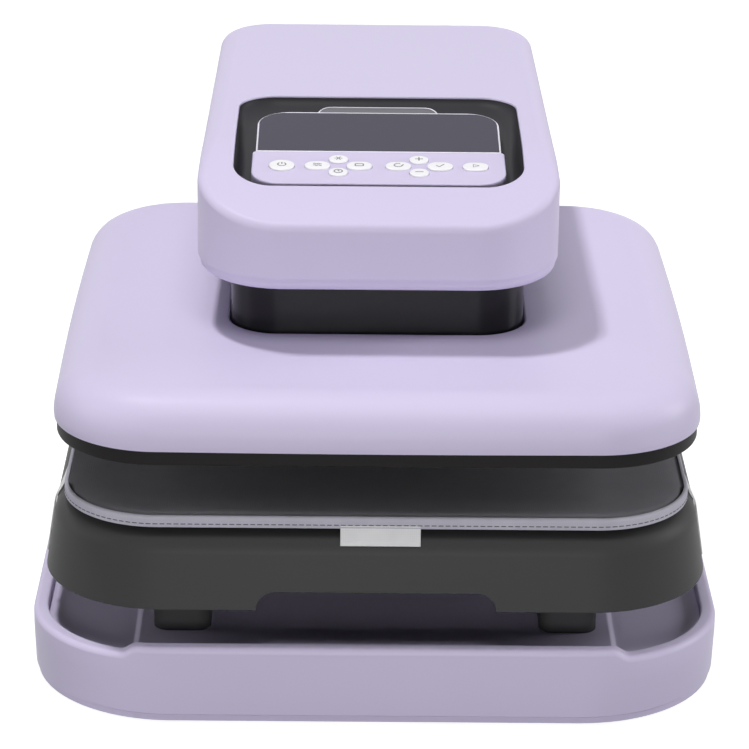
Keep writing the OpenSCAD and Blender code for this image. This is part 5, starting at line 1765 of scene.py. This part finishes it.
LAMPS = (
    Lamp("key", 37.0, 0.22, (-0.66, 0.2, 2.8), (-4.5, -14.2, 0.0)),
    Lamp("front_low", 31.0, 0.5, (0.0, -3.0, 0.45), (85.0, 0.0, 0.0)),
    Lamp("front_high", 18.0, 1.0, (0.0, -1.1, 2.7), (22.0, 0.0, 0.0)),
    Lamp("right_fill", 20.0, 0.8, (2.1, 0.2, 0.9), (-5.0, 71.5, 0.0)),
    Lamp("left_fill", 9.0, 0.8, (-2.2, -0.4, 0.9), (0.0, -71.0, 0.0)),
)


@dataclass
class Studio:
    """Camera, floor and lights."""

    eye: Triple = (-19.0, -2158.9, 977.0)
    pitch: float = 69.0
    yaw: float = -0.49
    roll: float = 0.65
    lens: float = 155.95
    sensor: float = 36.0
    sky: float = 0.05
    # Half of the floor's edge, in metres
    floor_half: float = 6.0
    floor_tone: float = 0.3
    floor_rough: float = 0.9
    floor_glow: float = 0.95

    def camera(self) -> None:
        """Set the camera that sees the part as the photograph does."""
        data = bpy.data.cameras.new("camera")
        data.lens = self.lens
        data.sensor_width = self.sensor
        eye = stand("camera", data)
        eye.location = np.array(self.eye) * MM
        turns = ((self.yaw, "Z"), (self.pitch, "X"), (self.roll, "Z"))
        yaw, pitch, roll = (Matrix.Rotation(math.radians(angle), 3, axis) for angle, axis in turns)
        eye.rotation_euler = (yaw @ pitch @ roll).to_euler()
        bpy.context.scene.camera = eye
        bpy.context.scene.view_settings.view_transform = "Standard"

    def build(self) -> None:
        """Make the lamps, the floor and the sky."""
        for lamp in LAMPS:
            lamp.hang()
        self.floor()
        self.world()

    @staticmethod
    def seen(nodes: bpy.types.Nodes, links: bpy.types.NodeLinks) -> Socket:
        """Mask of rays that show the background: camera, glossy and transmission rays.

        Args:
            nodes: Nodes of the tree that uses it.
            links: Links of the same tree.

        Returns:
            The mask's socket.
        """
        path = nodes.new("ShaderNodeLightPath")
        total = path.outputs["Is Camera Ray"]
        for kind in ("Is Glossy Ray", "Is Transmission Ray"):
            add = nodes.new("ShaderNodeMath")
            add.operation = "ADD"
            add.use_clamp = True
            links.new(total, add.inputs[0])
            links.new(path.outputs[kind], add.inputs[1])
            total = add.outputs[0]
        return total

    def floor(self) -> None:
        """Lay the pale floor, which shows white but keeps the part's shadow."""
        signs = ((-1, -1), (1, -1), (1, 1), (-1, 1))
        made = bpy.data.meshes.new("floor")
        made.from_pydata([(x * self.floor_half, y * self.floor_half, 0) for x, y in signs], [], [range(4)])
        plane = stand("floor", made)
        paint = bpy.data.materials.new("floor")
        paint.use_nodes = True
        nodes, links = paint.node_tree.nodes, paint.node_tree.links
        shader = nodes["Principled BSDF"]
        shader.inputs["Base Color"].default_value = (*[self.floor_tone] * 3, 1.0)
        shader.inputs["Roughness"].default_value = self.floor_rough
        shader.inputs["Specular IOR Level"].default_value = 0.0
        glow = nodes.new("ShaderNodeMath")
        glow.operation = "MULTIPLY"
        glow.inputs[1].default_value = self.floor_glow
        links.new(self.seen(nodes, links), glow.inputs[0])
        shader.inputs["Emission Color"].default_value = WHITE
        links.new(glow.outputs[0], shader.inputs["Emission Strength"])
        made.materials.append(paint)
        plane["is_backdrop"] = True

    def world(self) -> None:
        """Light the scene from all round, and show white behind it."""
        sky = bpy.data.worlds.new("sky")
        sky.use_nodes = True
        nodes, links = sky.node_tree.nodes, sky.node_tree.links
        shown, light = nodes["Background"], nodes.new("ShaderNodeBackground")
        for background, strength in ((shown, 1.0), (light, self.sky)):
            background.inputs["Color"].default_value = WHITE
            background.inputs["Strength"].default_value = strength
        mix = nodes.new("ShaderNodeMixShader")
        links.new(self.seen(nodes, links), mix.inputs["Fac"])
        links.new(light.outputs[0], mix.inputs[1])
        links.new(shown.outputs[0], mix.inputs[2])
        links.new(mix.outputs[0], nodes["World Output"].inputs["Surface"])
        bpy.context.scene.world = sky


def corners() -> list[list[float]]:
    """Lowest and highest corner of what is shown, as plain lists."""
    return [[round(float(value), 5) for value in corner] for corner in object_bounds()]


def main() -> None:
    """Build the studio and every piece."""
    logging.basicConfig(level=logging.INFO, format="%(message)s")
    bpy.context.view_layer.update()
    studio = Studio()
    studio.camera()
    shop = Workshop()
    shop.dress_nodes()
    head = Head()
    for group in (Base(), Drawer(), Platen(), head, Panel(head)):
        log.info("%s", type(group).__name__)
        group.build(shop)
    studio.build()


if __name__ == "__main__":
    main()
